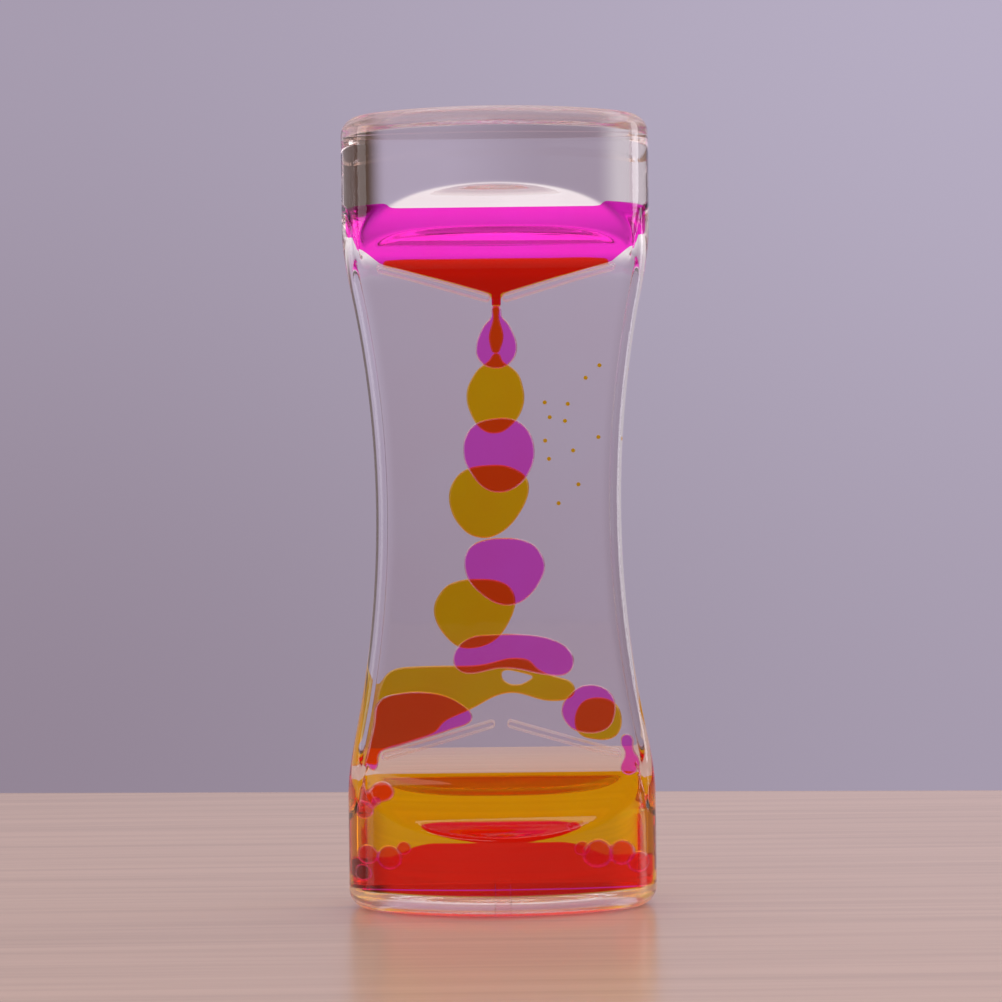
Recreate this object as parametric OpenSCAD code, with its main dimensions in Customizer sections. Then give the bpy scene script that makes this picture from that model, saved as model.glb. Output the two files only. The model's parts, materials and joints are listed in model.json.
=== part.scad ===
// Liquid motion timer: a clear waisted case that stands on either end, with two flat cells inside.
// Drops fall through clear oil, magenta ones in the front cell and yellow ones in the rear cell.
// Millimetres. +Z is up, the front faces -Y, and the origin is the middle of the base.

/* [Case] */
// Height of the case
case_h = 130; // [124:1:138]
// Width of the two end blocks
case_w = 50.7; // [49:0.1:54]
// Depth of the two end blocks
case_d = 30; // [28:0.5:31]
// Radius of the two narrow ends of the oval outline
end_r = 10.4; // [9:0.1:11.5]
// Rounding of the top and bottom rims
rim_r = 3; // [2:0.1:3.5]
// Thickness of the moulded walls
wall = 2.2; // [1.8:0.1:2.4]
// Thickness of the closed end of each block
floor_t = 4.5; // [3.5:0.1:5.5]
// Width of the flat ring that the timer stands on, rim included
foot_w = 6.3; // [5:0.1:7]
// Depth of the shallow recess inside that ring
recess_t = 0.5; // [0.3:0.1:1]

/* [Waist] */
// Width at the narrowest place
waist_w = 40.2; // [38:0.1:42]
// Height of the stretch where the sides curve in
waist_len = 86; // [80:1:90]
// Rounding of the side edges of the flat panel
edge_r = 2.9; // [2.8:0.1:3.2]

/* [Scoops] */
// Thickness of the flat panel between the end blocks
panel_t = 12; // [11:0.5:13]
// Radius of the coves that run from the panel out to the blocks
cove_r = 11; // [10:0.5:12]
// Height of each end block at its middle, up to the edge of the scoop
block_h = 13.3; // [12:0.1:14.5]

/* [Cells] */
// Thickness of the plate that parts the two cells
divider_t = 1.5; // [1:0.1:2]
// Height of the funnel tips above the nearer end
tip_h = 30; // [28:0.5:33]
// Slope of the funnel plates in degrees
plate_slope = 16.4; // [12:0.1:18]
// Thickness of the funnel plates
plate_t = 1.2; // [0.8:0.1:1.5]
// Gap between the tips of a pair of funnel plates
orifice_w = 2; // [1.6:0.1:2.6]
// Gap between a funnel plate and the side of its cell
side_gap = 2.8; // [2.4:0.1:3.4]

/* [Fill ports] */
// Diameter of the two fill holes in the base
port_d = 2.4; // [1.8:0.1:3]
// Distance of each fill hole from the middle plane
port_y = 5; // [4:0.1:6]
// Space round a plug, filled by its cement
plug_gap = 0.05; // [0.03:0.01:0.1]

/* [Liquids] */
// Height of the magenta left in the upper block, below the top
magenta_down = 15.6; // [14:0.1:18]
// Depth of the yellow left in the upper funnel, above the funnel tips
yellow_left = 6.6; // [6:0.1:7.2]
// Width of a full free drop
drop_w = 12; // [10.5:0.1:12.2]
// Height of the magenta that has settled in the base
magenta_settled = 10.2; // [8:0.1:11]
// Height of the yellow that has settled in the base
yellow_settled = 20.6; // [17:0.1:21]
// Film of oil between the liquids and the walls
film = 0.25; // [0.2:0.01:0.3]
// Clearance between the solid of the oil and all that it surrounds
skin = 0.05; // [0.03:0.01:0.1]

/* [Hidden] */
$fn = 96;

// Colours
clear_plastic = [0.88, 0.86, 0.9, 0.3];
clear_oil = [0.9, 0.9, 0.88, 0.12];
magenta = [0.85, 0.12, 0.7, 0.8];
yellow = [0.8, 0.62, 0.02, 0.8];

// The oval outline is two long arcs of main_r joined to two short arcs of end_r
end_x = case_w / 2 - end_r;
main_r = (pow(end_x, 2) + pow(case_d / 2, 2) - pow(end_r, 2)) / (case_d - 2 * end_r);
main_off = main_r - case_d / 2;
seam_x = end_x + end_r * end_x / (main_r - end_r);
seam_y = end_r * main_off / (main_r - end_r);
reach = 10;

// The sides are arcs of waist_r about a line far out on each side
waist_dip = (case_w - waist_w) / 2;
waist_r = (pow(waist_len / 2, 2) + pow(waist_dip, 2)) / (2 * waist_dip);
waist_x = waist_w / 2 + waist_r;

// The coves are arcs about a line in front of the panel
cove_y = panel_t / 2 + cove_r;
cove_z = block_h + sqrt(pow(cove_r, 2) - pow(cove_y - case_d / 2, 2));

// Inside faces of a cell, and the flat thickness left for a drop
cell_near = divider_t / 2;
cell_far = panel_t / 2 - wall;
cell_mid = (cell_near + cell_far) / 2;
drop_t = cell_far - cell_near - 2 * film;
inner_rim = 1.2;

// Inside half-width of a cell, in the end blocks and at a height within the waist
block_half = case_w / 2 - wall;
function cell_half(z) =
    min(block_half, waist_x - sqrt(pow(waist_r + wall, 2) - pow(z - case_h / 2, 2)));

// A funnel plate runs from near the middle out to the side gap
plate_in = orifice_w / 2 + plate_t / 2;
plate_low = tip_h - tan(plate_slope) * (waist_w / 2 - side_gap);
plate_out = cell_half(plate_low) - side_gap - plate_t / 2;
plate_len = (plate_out - plate_in) / cos(plate_slope);

// Height of the middle line of a lower plate at a distance from the middle
function plate_z(x) = tip_h - tan(plate_slope) * (abs(x) - plate_in);

// Drops fall between the two pairs of tips, and each keeps its share of that height
fall_h = case_h - 2 * tip_h;
function fall_z(share) = tip_h + share * fall_h;

// Surfaces that run into each other smoothly overlap by this much, so that they join
lap = 0.02;
link_lap = 0.1;

// Outline of the case, drawn in from its true size by inset
module oval(inset) {
    intersection() {
        translate([0, -main_off]) circle(main_r - inset);
        translate([0, main_off]) circle(main_r - inset);
        middle_sector();
    }
    for (side = [-1, 1])
        translate([side * end_x, 0]) circle(end_r - inset + lap);
}

// Part of the plan that belongs to the two long arcs: its sides run out through the four seams
module middle_sector() {
    tip = end_x - 1;
    x = tip + reach * (seam_x - tip);
    y = reach * seam_y;
    polygon([[tip, 0], [x, y], [-x, y], [-tip, 0], [-x, -y], [x, -y]]);
}

// Upright disc with rounded rims, from height low to height high
module rim_disc(radius, low, high, rim) {
    translate([0, 0, low])
        rotate_extrude() {
            square([radius - rim, high - low]);
            translate([0, rim]) square([radius, high - low - 2 * rim]);
            for (z = [rim, high - low - rim])
                translate([radius - rim, z]) circle(rim);
        }
}

// Oval block with rounded rims
module oval_block(inset, end_inset, rim) {
    low = end_inset;
    high = case_h - end_inset;
    intersection() {
        translate([0, -main_off, 0]) rim_disc(main_r - inset, low, high, rim);
        translate([0, main_off, 0]) rim_disc(main_r - inset, low, high, rim);
        translate([0, 0, -1]) linear_extrude(case_h + 2) middle_sector();
    }
    for (side = [-1, 1])
        translate([side * end_x, 0, 0])
            rim_disc(end_r - inset + lap, low, high, rim);
}

// What the scoop takes away on one side, coves included
module scoop(inset, side) {
    mirror([0, side > 0 ? 0 : 1, 0])
        rotate([90, 0, 90])
            translate([0, 0, -case_w])
                linear_extrude(2 * case_w) {
                    translate([panel_t / 2 - inset, cove_z])
                        square([case_d, case_h - 2 * cove_z]);
                    for (z = [cove_z, case_h - cove_z])
                        translate([cove_y, z]) circle(cove_r + inset);
                }
}

// What the waist takes away on one side, with a hollow rim that rounds the panel's edge
module waist_cut(inset, side) {
    flat = panel_t / 2 - edge_r;
    sweep = 50;
    translate([side * waist_x, 0, case_h / 2])
        rotate([90, 0, 0])
            rotate((side > 0 ? 180 : 0) - sweep / 2)
            rotate_extrude(angle = sweep)
                difference() {
                    translate([waist_r - case_w, -case_d])
                        square([case_w + edge_r, 2 * case_d]);
                    translate([waist_r + inset, -flat])
                        square([case_w, 2 * flat]);
                    for (y = [-flat, flat])
                        translate([waist_r + edge_r, y]) circle(edge_r - inset);
                }
}

// The whole form of the case, drawn in by inset, and by end_inset at its two ends
module case_form(inset, end_inset, rim) {
    difference() {
        oval_block(inset, end_inset, rim);
        for (side = [-1, 1]) {
            scoop(inset, side);
            waist_cut(inset, side);
        }
    }
}

// Everything beyond distance from the middle plane, on one side
module beyond(side, distance) {
    translate([-case_w, side > 0 ? distance : -distance - case_d, -1])
        cube([2 * case_w, case_d, case_h + 2]);
}

// The hollow of one cell, drawn in by gap on every face
module cell(side, gap = 0) {
    intersection() {
        case_form(wall + gap, floor_t + gap, inner_rim);
        beyond(side, cell_near + gap);
    }
}

// Slab of an outline drawn in X and Z, between two distances from the middle plane
module slab(side, near, far) {
    translate([0, side > 0 ? far : -near, 0])
        rotate([90, 0, 0])
            linear_extrude(far - near)
                children();
}

// Shallow recess that leaves the ring to stand on
module recess() {
    for (z = [-1, case_h - recess_t])
        translate([0, 0, z])
            linear_extrude(recess_t + 1)
                oval(foot_w);
}

// One moulded half of the case
module shell(side) {
    difference() {
        intersection() {
            case_form(0, 0, rim_r);
            beyond(side, cell_near);
        }
        intersection() {
            case_form(wall, floor_t, inner_rim);
            beyond(side, 0);
        }
        recess();
        translate([0, side * port_y, -1]) cylinder(d = port_d, h = floor_t + 2);
    }
}

module front_shell() { color(clear_plastic) shell(-1); }
module rear_shell() { color(clear_plastic) shell(1); }

module divider_plate() {
    color(clear_plastic)
        difference() {
            intersection() {
                case_form(0, 0, rim_r);
                translate([-case_w, -cell_near, -1])
                    cube([2 * case_w, divider_t, case_h + 2]);
            }
            recess();
        }
}

// Plug cemented into a fill hole, flush with the recess and with the floor of its cell
module fill_plug(side) {
    color(clear_plastic)
        translate([0, side * port_y, recess_t])
            cylinder(d = port_d - 2 * plug_gap, h = floor_t - recess_t);
}

module front_fill_plug() { fill_plug(-1); }
module rear_fill_plug() { fill_plug(1); }

// Outline of the lower right funnel plate in X and Z, grown by grow
module plate_outline(grow = 0) {
    half = plate_t / 2 + grow;
    translate([plate_in, tip_h])
        rotate(-plate_slope) {
            translate([0, -half]) square([plate_len, 2 * half]);
            circle(half);
            translate([plate_len, 0]) circle(half);
        }
}

// Moves an outline to the left or to the upper end
module placed(across, up) {
    translate([0, up > 0 ? case_h : 0])
        mirror([0, up > 0 ? 1 : 0])
            mirror([across > 0 ? 0 : 1, 0])
                children();
}

module funnel_plate(side, across, up) {
    color(clear_plastic)
        slab(side, cell_near, cell_far)
            placed(across, up) plate_outline();
}

module front_lower_left_plate() { funnel_plate(-1, -1, -1); }
module front_lower_right_plate() { funnel_plate(-1, 1, -1); }
module front_upper_left_plate() { funnel_plate(-1, -1, 1); }
module front_upper_right_plate() { funnel_plate(-1, 1, 1); }
module rear_lower_left_plate() { funnel_plate(1, -1, -1); }
module rear_lower_right_plate() { funnel_plate(1, 1, -1); }
module rear_upper_left_plate() { funnel_plate(1, -1, 1); }
module rear_upper_right_plate() { funnel_plate(1, 1, 1); }

// The four funnel plates of one cell, grown by grow
module plates(side, grow) {
    for (across = [-1, 1])
        for (up = [-1, 1])
            slab(side, 0, panel_t) placed(across, up) plate_outline(grow);
}

// Section of a flat drop from its middle out to its round edge
module drop_section(radius, thick) {
    translate([0, -thick / 2]) square([radius - thick / 2, thick]);
    translate([radius - thick / 2, 0]) circle(thick / 2);
}

// Flat round drop in X and Z
module round_drop(radius, thick) {
    rotate([90, 0, 0]) rotate_extrude() drop_section(radius, thick);
}

// Flat drop with one round end of radius big, and one of radius small at distance apart along X
module oval_drop(big, small, apart, thick) {
    turn = asin((big - small) / apart);
    round_drop(big, thick);
    translate([apart, 0, 0]) round_drop(small, thick);
    for (up = [0, 1])
        mirror([0, 0, up])
            rotate([0, turn + 90, 0])
                translate([0, 0, -link_lap])
                    linear_extrude(apart * cos(turn) + 2 * link_lap)
                        mirror([1, 0])
                            side_section(big - lap, thick);
}

// Section of the straight side of a drop, from just past its middle line out to its round edge
module side_section(radius, thick) {
    translate([-radius / 5, -thick / 2]) square([1.2 * radius - thick / 2, thick]);
    translate([radius - thick / 2, 0]) circle(thick / 2);
}

// Puts a drop into its cell at x and z, turned so that its small end points at angle above +X
module in_cell(side, x, z, angle = 0) {
    translate([x, side * cell_mid, z]) rotate([0, -angle, 0]) children();
}

// Free drops: side, x, share of the fall, big radius, small radius, distance between them, angle.
// Their lengths are those of drops 12 mm wide.
DROP_MAGENTA_1 = [-1, 0, 0.632, 6, 5.8, 0.6, 90];
DROP_MAGENTA_2 = [-1, -0.2, 0.354, 5.75, 5.55, 1.9, 8];
DROP_YELLOW_1 = [1, -0.2, 0.754, 4.6, 3.4, 3.3, 90];
DROP_YELLOW_2 = [1, -1.6, 0.528, 6.2, 4.6, 1.9, -90];
DROP_YELLOW_3 = [1, -5.2, 0.26, 5.6, 5.4, 1.9, 6];
drop_scale = drop_w / 12;

module free_drop(drop, grow = 0) {
    size = drop_scale * [drop[3], drop[4], drop[5]];
    in_cell(drop[0], drop_scale * drop[1], fall_z(drop[2]), drop[6])
        oval_drop(size[0] + grow, size[1] + grow, size[2], drop_t + 2 * grow);
}

module magenta_drop_1() { color(magenta) free_drop(DROP_MAGENTA_1); }
module magenta_drop_2() { color(magenta) free_drop(DROP_MAGENTA_2); }
module yellow_drop_1() { color(yellow) free_drop(DROP_YELLOW_1); }
module yellow_drop_2() { color(yellow) free_drop(DROP_YELLOW_2); }
module yellow_drop_3() { color(yellow) free_drop(DROP_YELLOW_3); }

// Drop that is about to leave the upper funnel: a round drop with a tapered tail above it
forming_z = fall_z(0.886);
forming_r = 3.4 * drop_scale;
forming_x = -0.1;
root_half = 0.65 * forming_r;
root_up = 0.7 * forming_r;
tail_t = 1.3;
tail_r = orifice_w / 2 - film;
tail_top = case_h - tip_h - plate_t / 2 - 0.8;
module forming_form(grow = 0) {
    root_x = root_half + grow;
    root_z = forming_z + root_up;
    tip_x = tail_r + grow;
    half = tail_t / 2 + grow;
    in_cell(-1, forming_x, forming_z) round_drop(forming_r + grow, drop_t + 2 * grow);
    translate([forming_x, 0, 0])
        slab(-1, cell_mid - half, cell_mid + half)
            polygon([[-root_x, forming_z], [-root_x, root_z], [-tip_x, tail_top - 3],
                [-tip_x, tail_top + grow], [tip_x, tail_top + grow], [tip_x, tail_top - 3],
                [root_x, root_z], [root_x, forming_z]]);
}

module magenta_forming_drop() { color(magenta) forming_form(); }

// Bean-shaped drop: a stretch of a ring with two round ends
bean_r = 20.7 * drop_scale;
bean_half = 3.05 * drop_scale;
bean_angle = 40;
bean_z = fall_z(0.175);
module bean_form(grow = 0) {
    half = bean_half + grow;
    thick = drop_t + 2 * grow;
    in_cell(-1, 2.2, bean_z - bean_r) {
        rotate([90, 0, 0])
            rotate(90 - bean_angle / 2)
                rotate_extrude(angle = bean_angle)
                    translate([bean_r, 0])
                        for (side = [0, 1])
                            mirror([side, 0]) drop_section(half - lap, thick);
        for (end = [-0.5, 0.5])
            rotate([0, end * bean_angle, 0])
                translate([0, 0, bean_r]) round_drop(half, thick);
    }
}

module magenta_bean_drop() { color(magenta) bean_form(); }

// Drops on the right lower plate: distance in from its outer end, clearance above it, radius
RIGHT_MAGENTA = [4.6, 0.9, 4.2];
RIGHT_YELLOW = [2.8, 0.3, 3.5];
module right_drop(side, drop, grow = 0) {
    x = plate_out - drop[0];
    z = plate_z(x) + (plate_t / 2 + drop[1] + drop[2]) / cos(plate_slope);
    in_cell(side, x, z) round_drop(drop[2] + grow, drop_t + 2 * grow);
}

module magenta_right_drop() { color(magenta) right_drop(-1, RIGHT_MAGENTA); }
module yellow_right_drop() { color(yellow) right_drop(1, RIGHT_YELLOW); }

// Drop that slips down between the right lower plate and the side of the cell: two balls and
// the neck between them, leaning in at the top like the side of the cell
slip_x = plate_out + plate_t / 2 + side_gap / 2 + 0.1;
slip_low = plate_z(plate_out) - 2.2;
slip_len = 4.2;
slip_lean = 5;
slip_big = 1.25;
slip_small = 0.9;
module slipping_form(grow = 0) {
    in_cell(-1, slip_x, slip_low, slip_lean) {
        sphere(slip_big + grow);
        cylinder(h = slip_len, r1 = slip_big - 0.4 + grow, r2 = slip_small - 0.3 + grow);
        translate([0, 0, slip_len]) sphere(slip_small + grow);
    }
}

module magenta_slipping_drop() { color(magenta) slipping_form(); }

// Flat solids through a chain of circles, each given as [x, z, radius]
module chain(side, near, far, circles) {
    for (c = circles)
        slab(side, near, far) translate([c[0], c[1]]) circle(c[2]);
    for (i = [1:len(circles) - 1])
        slab(side, near, far) link(circles[i - 1], circles[i]);
}

// Outline of what lies between two circles of a chain, a little inside their tangents
module link(a, b) {
    apart = norm([b[0] - a[0], b[1] - a[1]]);
    turn = acos((a[2] - b[2]) / apart);
    back = 3 * link_lap;
    corners = [for (end = [[a, -back, 0], [b, back, apart]])
        for (up = [1, -1])
            [end[2] + (end[0][2] - link_lap) * cos(turn) + end[1],
             up * (end[0][2] - link_lap) * sin(turn)]];
    translate([a[0], a[1]])
        rotate(atan2(b[1] - a[1], b[0] - a[0]))
            polygon([corners[0], corners[2], corners[3], corners[1]]);
}

// The hollow of the flat part of a cell between the two waist arcs, drawn in by gap
module flat_cell(side, gap) {
    slab(side, cell_near + gap, cell_far - gap)
        difference() {
            translate([-case_w, 0]) square([2 * case_w, case_h]);
            for (across = [-1, 1])
                translate([across * waist_x, case_h / 2]) circle(waist_r + wall + gap);
        }
}

// A pool fills its cell within children, clear of the walls and plates by a film
module pool(side, deep) {
    difference() {
        intersection() {
            if (deep) cell(side, film);
            else flat_cell(side, film);
            children();
        }
        plates(side, film);
    }
}

// Outline of what is left in an upper funnel, down to shore_z at shore_x on its sides
module funnel_outline(level, full_x, shore_x, shore_z) {
    right = [[full_x, level], [shore_x, shore_z], [plate_out, case_h - plate_z(plate_out)],
        [plate_in, case_h - tip_h], [tail_r, case_h - tip_h], [tail_r, tail_top + 0.15]];
    left = [for (i = [len(right) - 1:-1:0]) [-right[i][0], right[i][1]]];
    polygon(concat(right, left));
}

module magenta_upper_form() {
    level = case_h - magenta_down;
    shore = level - 3.8;
    rise = (shore - case_h + plate_z(plate_out)) / (cell_half(shore) - plate_out);
    edge_x = case_w / 2;
    slab(-1, 0, case_d)
        funnel_outline(level, edge_x, edge_x, shore + rise * (edge_x - cell_half(shore)));
}

module yellow_upper_form() {
    level = case_h - tip_h + yellow_left;
    slab(1, 0, case_d) funnel_outline(level, plate_out - 3, plate_out - 0.4, level - 0.9);
}

module magenta_upper_pool() { color(magenta) pool(-1, true) magenta_upper_form(); }
module yellow_upper_pool() { color(yellow) pool(1, false) yellow_upper_form(); }

// Thread of yellow between the funnel and the first yellow drop
thread_low = fall_z(DROP_YELLOW_1[2]) + DROP_YELLOW_1[4] + DROP_YELLOW_1[5] + 0.15;
module thread_form(grow = 0) {
    high = tail_top;
    span = high - thread_low;
    translate([-0.1, cell_mid, 0])
        rotate_extrude()
            polygon([[0, thread_low - grow], [0.6 + grow, thread_low - grow],
                [0.6 + grow, thread_low + 0.15 * span], [1.3 + grow, thread_low + 0.42 * span],
                [tail_r + grow, thread_low + 0.75 * span], [tail_r + grow, high + grow],
                [0, high + grow]]);
}

module yellow_thread() { color(yellow) thread_form(); }

// Pools on the lower plates: chains of circles, given as x, height above the tips and radius
MAGENTA_BANK = [[-16.1, 1.8, 3.9], [-11, 2.2, 3.4], [-6.6, 1.2, 1.8]];
YELLOW_BANK = [[-15.4, 5, 4.6], [-8, 5.5, 4], [-1.5, 7, 3.2], [3, 7.9, 2.8], [8, 6.4, 2.5],
    [10.8, 5.3, 2]];
YELLOW_HOLE = [[1.4, 7.4, 1.1], [4, 7.2, 1]];

function raised(circles) = [for (c = circles) [c[0], c[1] + tip_h, c[2]]];

// A pool banked on the left lower plate, with a tail down the side gap
module bank_form(side, circles, shore_x, tail_z) {
    a = circles[0];
    b = circles[1];
    shore_z = a[1] + 0.55 * a[2];
    out_z = plate_z(plate_out);
    gap_x = plate_out + plate_t / 2 + side_gap / 2;
    chain(side, 0, case_d, circles);
    slab(side, 0, case_d)
        polygon([[-case_w, shore_z], [a[0], shore_z], [b[0], b[1]],
            [-shore_x, plate_z(shore_x)], [-plate_out, out_z], [-case_w, out_z]]);
    chain(side, 0, case_d, [[-gap_x, out_z + 0.8, side_gap / 2 - film],
        [-gap_x - 0.3, tail_z, side_gap / 2 - 2 * film]]);
}

module magenta_bank_form() {
    bank_form(-1, raised(MAGENTA_BANK), 6.2, tip_h - 8);
}

module yellow_bank_form() {
    difference() {
        bank_form(1, raised(YELLOW_BANK), 9.6, tip_h - 7.5);
        chain(1, -1, case_d + 1, raised(YELLOW_HOLE));
    }
}

module magenta_left_pool() { color(magenta) pool(-1, false) magenta_bank_form(); }
module yellow_roof_pool() { color(yellow) pool(1, false) yellow_bank_form(); }

// Magenta that has settled in the base: a flat top with two shoulders, over a thin layer.
// The distances are in from the two sides of the cell.
settled_layer = 1.9;
shoulder_h = 1.3;
SHOULDER_LEFT = [8.55, 9.75, 12.15];
SHOULDER_RIGHT = [10.05, 11.25, 13.65];
module magenta_settled_form() {
    level = magenta_settled;
    ledge = floor_t + settled_layer;
    right = [for (d = SHOULDER_RIGHT) block_half - d];
    left = [for (d = SHOULDER_LEFT) d - block_half];
    slab(-1, 0, case_d)
        polygon([[case_w, 0], [case_w, ledge], [right[0], ledge], [right[1], level - shoulder_h],
            [right[2], level], [left[2], level], [left[1], level - shoulder_h], [left[0], ledge],
            [-case_w, ledge], [-case_w, 0]]);
}

module yellow_settled_form() {
    slab(1, 0, case_d) translate([-case_w, 0]) square([2 * case_w, yellow_settled]);
}

module magenta_settled_pool() { color(magenta) pool(-1, true) magenta_settled_form(); }
module yellow_settled_pool() { color(yellow) pool(1, true) yellow_settled_form(); }

// Small drops that have not run together yet: side, distance in from it, height above the
// floor, radius
SETTLED = [[-1, 2.85, 4.3, 1.9], [-1, 6.75, 4.5, 1.8], [-1, 4.65, 7.8, 1.6], [-1, 8.65, 7.5, 1.2],
    [-1, 2.55, 9.8, 1.2], [-1, 3.35, 13.4, 2], [1, 8.15, 4.7, 2.2], [1, 3.65, 4.5, 2],
    [1, 5.65, 8.2, 1.7], [1, 10.55, 7.4, 1.2]];
module settled_drops_form(grow = 0) {
    for (d = SETTLED)
        translate([d[0] * (block_half - d[1]), -cell_near - film - d[3], floor_t + d[2]])
            sphere(d[3] + grow);
}

module magenta_settled_drops() { color(magenta) settled_drops_form(); }

// Tiny drops that hang in the oil of the rear cell: x, share of the fall
SPECKS = [[7.8, 0.754], [11.6, 0.75], [8.6, 0.719], [11.1, 0.71], [14.6, 0.811], [16.9, 0.84],
    [7.8, 0.664], [8.4, 0.621], [9.9, 0.516], [13.2, 0.56], [16.6, 0.671], [12.4, 0.64]];
speck_r = 0.35;
module specks_form(grow = 0) {
    for (s = SPECKS)
        translate([s[0], cell_mid, fall_z(s[1])]) sphere(speck_r + grow);
}

module yellow_specks() { color(yellow) specks_form(); }

// Clear oil fills the rest of each cell
module front_oil() {
    color(clear_oil)
        difference() {
            cell(-1, skin);
            plates(-1, skin);
            magenta_upper_form();
            magenta_bank_form();
            magenta_settled_form();
            forming_form(skin);
            free_drop(DROP_MAGENTA_1, skin);
            free_drop(DROP_MAGENTA_2, skin);
            bean_form(skin);
            right_drop(-1, RIGHT_MAGENTA, skin);
            slipping_form(skin);
            settled_drops_form(skin);
        }
}

module rear_oil() {
    color(clear_oil)
        difference() {
            cell(1, skin);
            plates(1, skin);
            yellow_upper_form();
            yellow_bank_form();
            yellow_settled_form();
            thread_form(skin);
            free_drop(DROP_YELLOW_1, skin);
            free_drop(DROP_YELLOW_2, skin);
            free_drop(DROP_YELLOW_3, skin);
            right_drop(1, RIGHT_YELLOW, skin);
            specks_form(skin);
        }
}

front_shell();
rear_shell();
divider_plate();
front_fill_plug();
rear_fill_plug();
front_lower_left_plate();
front_lower_right_plate();
front_upper_left_plate();
front_upper_right_plate();
rear_lower_left_plate();
rear_lower_right_plate();
rear_upper_left_plate();
rear_upper_right_plate();
front_oil();
rear_oil();
magenta_upper_pool();
magenta_forming_drop();
magenta_drop_1();
magenta_drop_2();
magenta_bean_drop();
magenta_left_pool();
magenta_right_drop();
magenta_slipping_drop();
magenta_settled_pool();
magenta_settled_drops();
yellow_upper_pool();
yellow_thread();
yellow_drop_1();
yellow_drop_2();
yellow_drop_3();
yellow_roof_pool();
yellow_right_drop();
yellow_settled_pool();
yellow_specks();
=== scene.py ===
"""A clear liquid motion timer: a moulded case with two cells, magenta drops in one and yellow in the other.

Sizes are in metres. The frame's +Z is up and the front faces -Y.
"""

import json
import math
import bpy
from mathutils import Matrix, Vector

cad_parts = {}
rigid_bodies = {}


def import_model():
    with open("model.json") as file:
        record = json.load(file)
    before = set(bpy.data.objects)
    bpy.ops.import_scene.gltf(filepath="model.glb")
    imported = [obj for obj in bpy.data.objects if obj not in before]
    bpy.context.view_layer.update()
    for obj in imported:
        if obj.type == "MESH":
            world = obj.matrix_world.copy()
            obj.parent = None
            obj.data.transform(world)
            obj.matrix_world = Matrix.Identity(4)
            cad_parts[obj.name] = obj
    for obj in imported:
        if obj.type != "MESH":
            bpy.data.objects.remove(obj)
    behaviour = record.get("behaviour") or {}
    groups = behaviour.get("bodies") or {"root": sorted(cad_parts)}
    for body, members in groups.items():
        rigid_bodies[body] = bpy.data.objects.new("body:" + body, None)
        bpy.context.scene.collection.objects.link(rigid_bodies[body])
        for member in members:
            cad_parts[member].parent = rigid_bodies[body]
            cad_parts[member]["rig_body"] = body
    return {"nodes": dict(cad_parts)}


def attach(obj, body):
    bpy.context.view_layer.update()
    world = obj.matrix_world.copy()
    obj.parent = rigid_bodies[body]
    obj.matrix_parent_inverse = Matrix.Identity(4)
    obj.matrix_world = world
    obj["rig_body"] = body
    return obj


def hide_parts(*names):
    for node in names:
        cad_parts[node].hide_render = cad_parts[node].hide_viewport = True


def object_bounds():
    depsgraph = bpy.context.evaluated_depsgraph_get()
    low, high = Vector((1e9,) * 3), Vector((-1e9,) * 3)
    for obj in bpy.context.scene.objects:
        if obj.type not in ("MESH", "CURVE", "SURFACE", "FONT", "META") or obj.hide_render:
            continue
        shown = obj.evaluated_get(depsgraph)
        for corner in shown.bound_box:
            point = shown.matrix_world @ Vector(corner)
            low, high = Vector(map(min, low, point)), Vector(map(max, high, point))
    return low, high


bl_info = {
    "name": "Liquid Motion Timer",
    "version": (1, 0, 0),
    "blender": (4, 5, 0),
    "location": "View3D > Sidebar > Timer",
    "description": "Builds the clear case, its funnel plates, its oil and its drops round the packed frame",
    "category": "Object",
}

import bmesh
import bpy
import numpy as np
from bpy.props import FloatProperty, FloatVectorProperty, PointerProperty
from mathutils import Matrix, Vector
from mathutils.geometry import tessellate_polygon

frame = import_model()
CAD_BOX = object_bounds()

MM = 0.001
FRONT, REAR = -1, 1
# Rounding where a cell's walls meet its floor and its roof
INNER_RIM = 1.2 * MM
# Rows of the case's meshes: round a rim, along a cove, and up to the waist
RIM_ROWS, COVE_ROWS, PANEL_ROWS = 9, 42, 52


# Sizes and colours that a user would change


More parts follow.
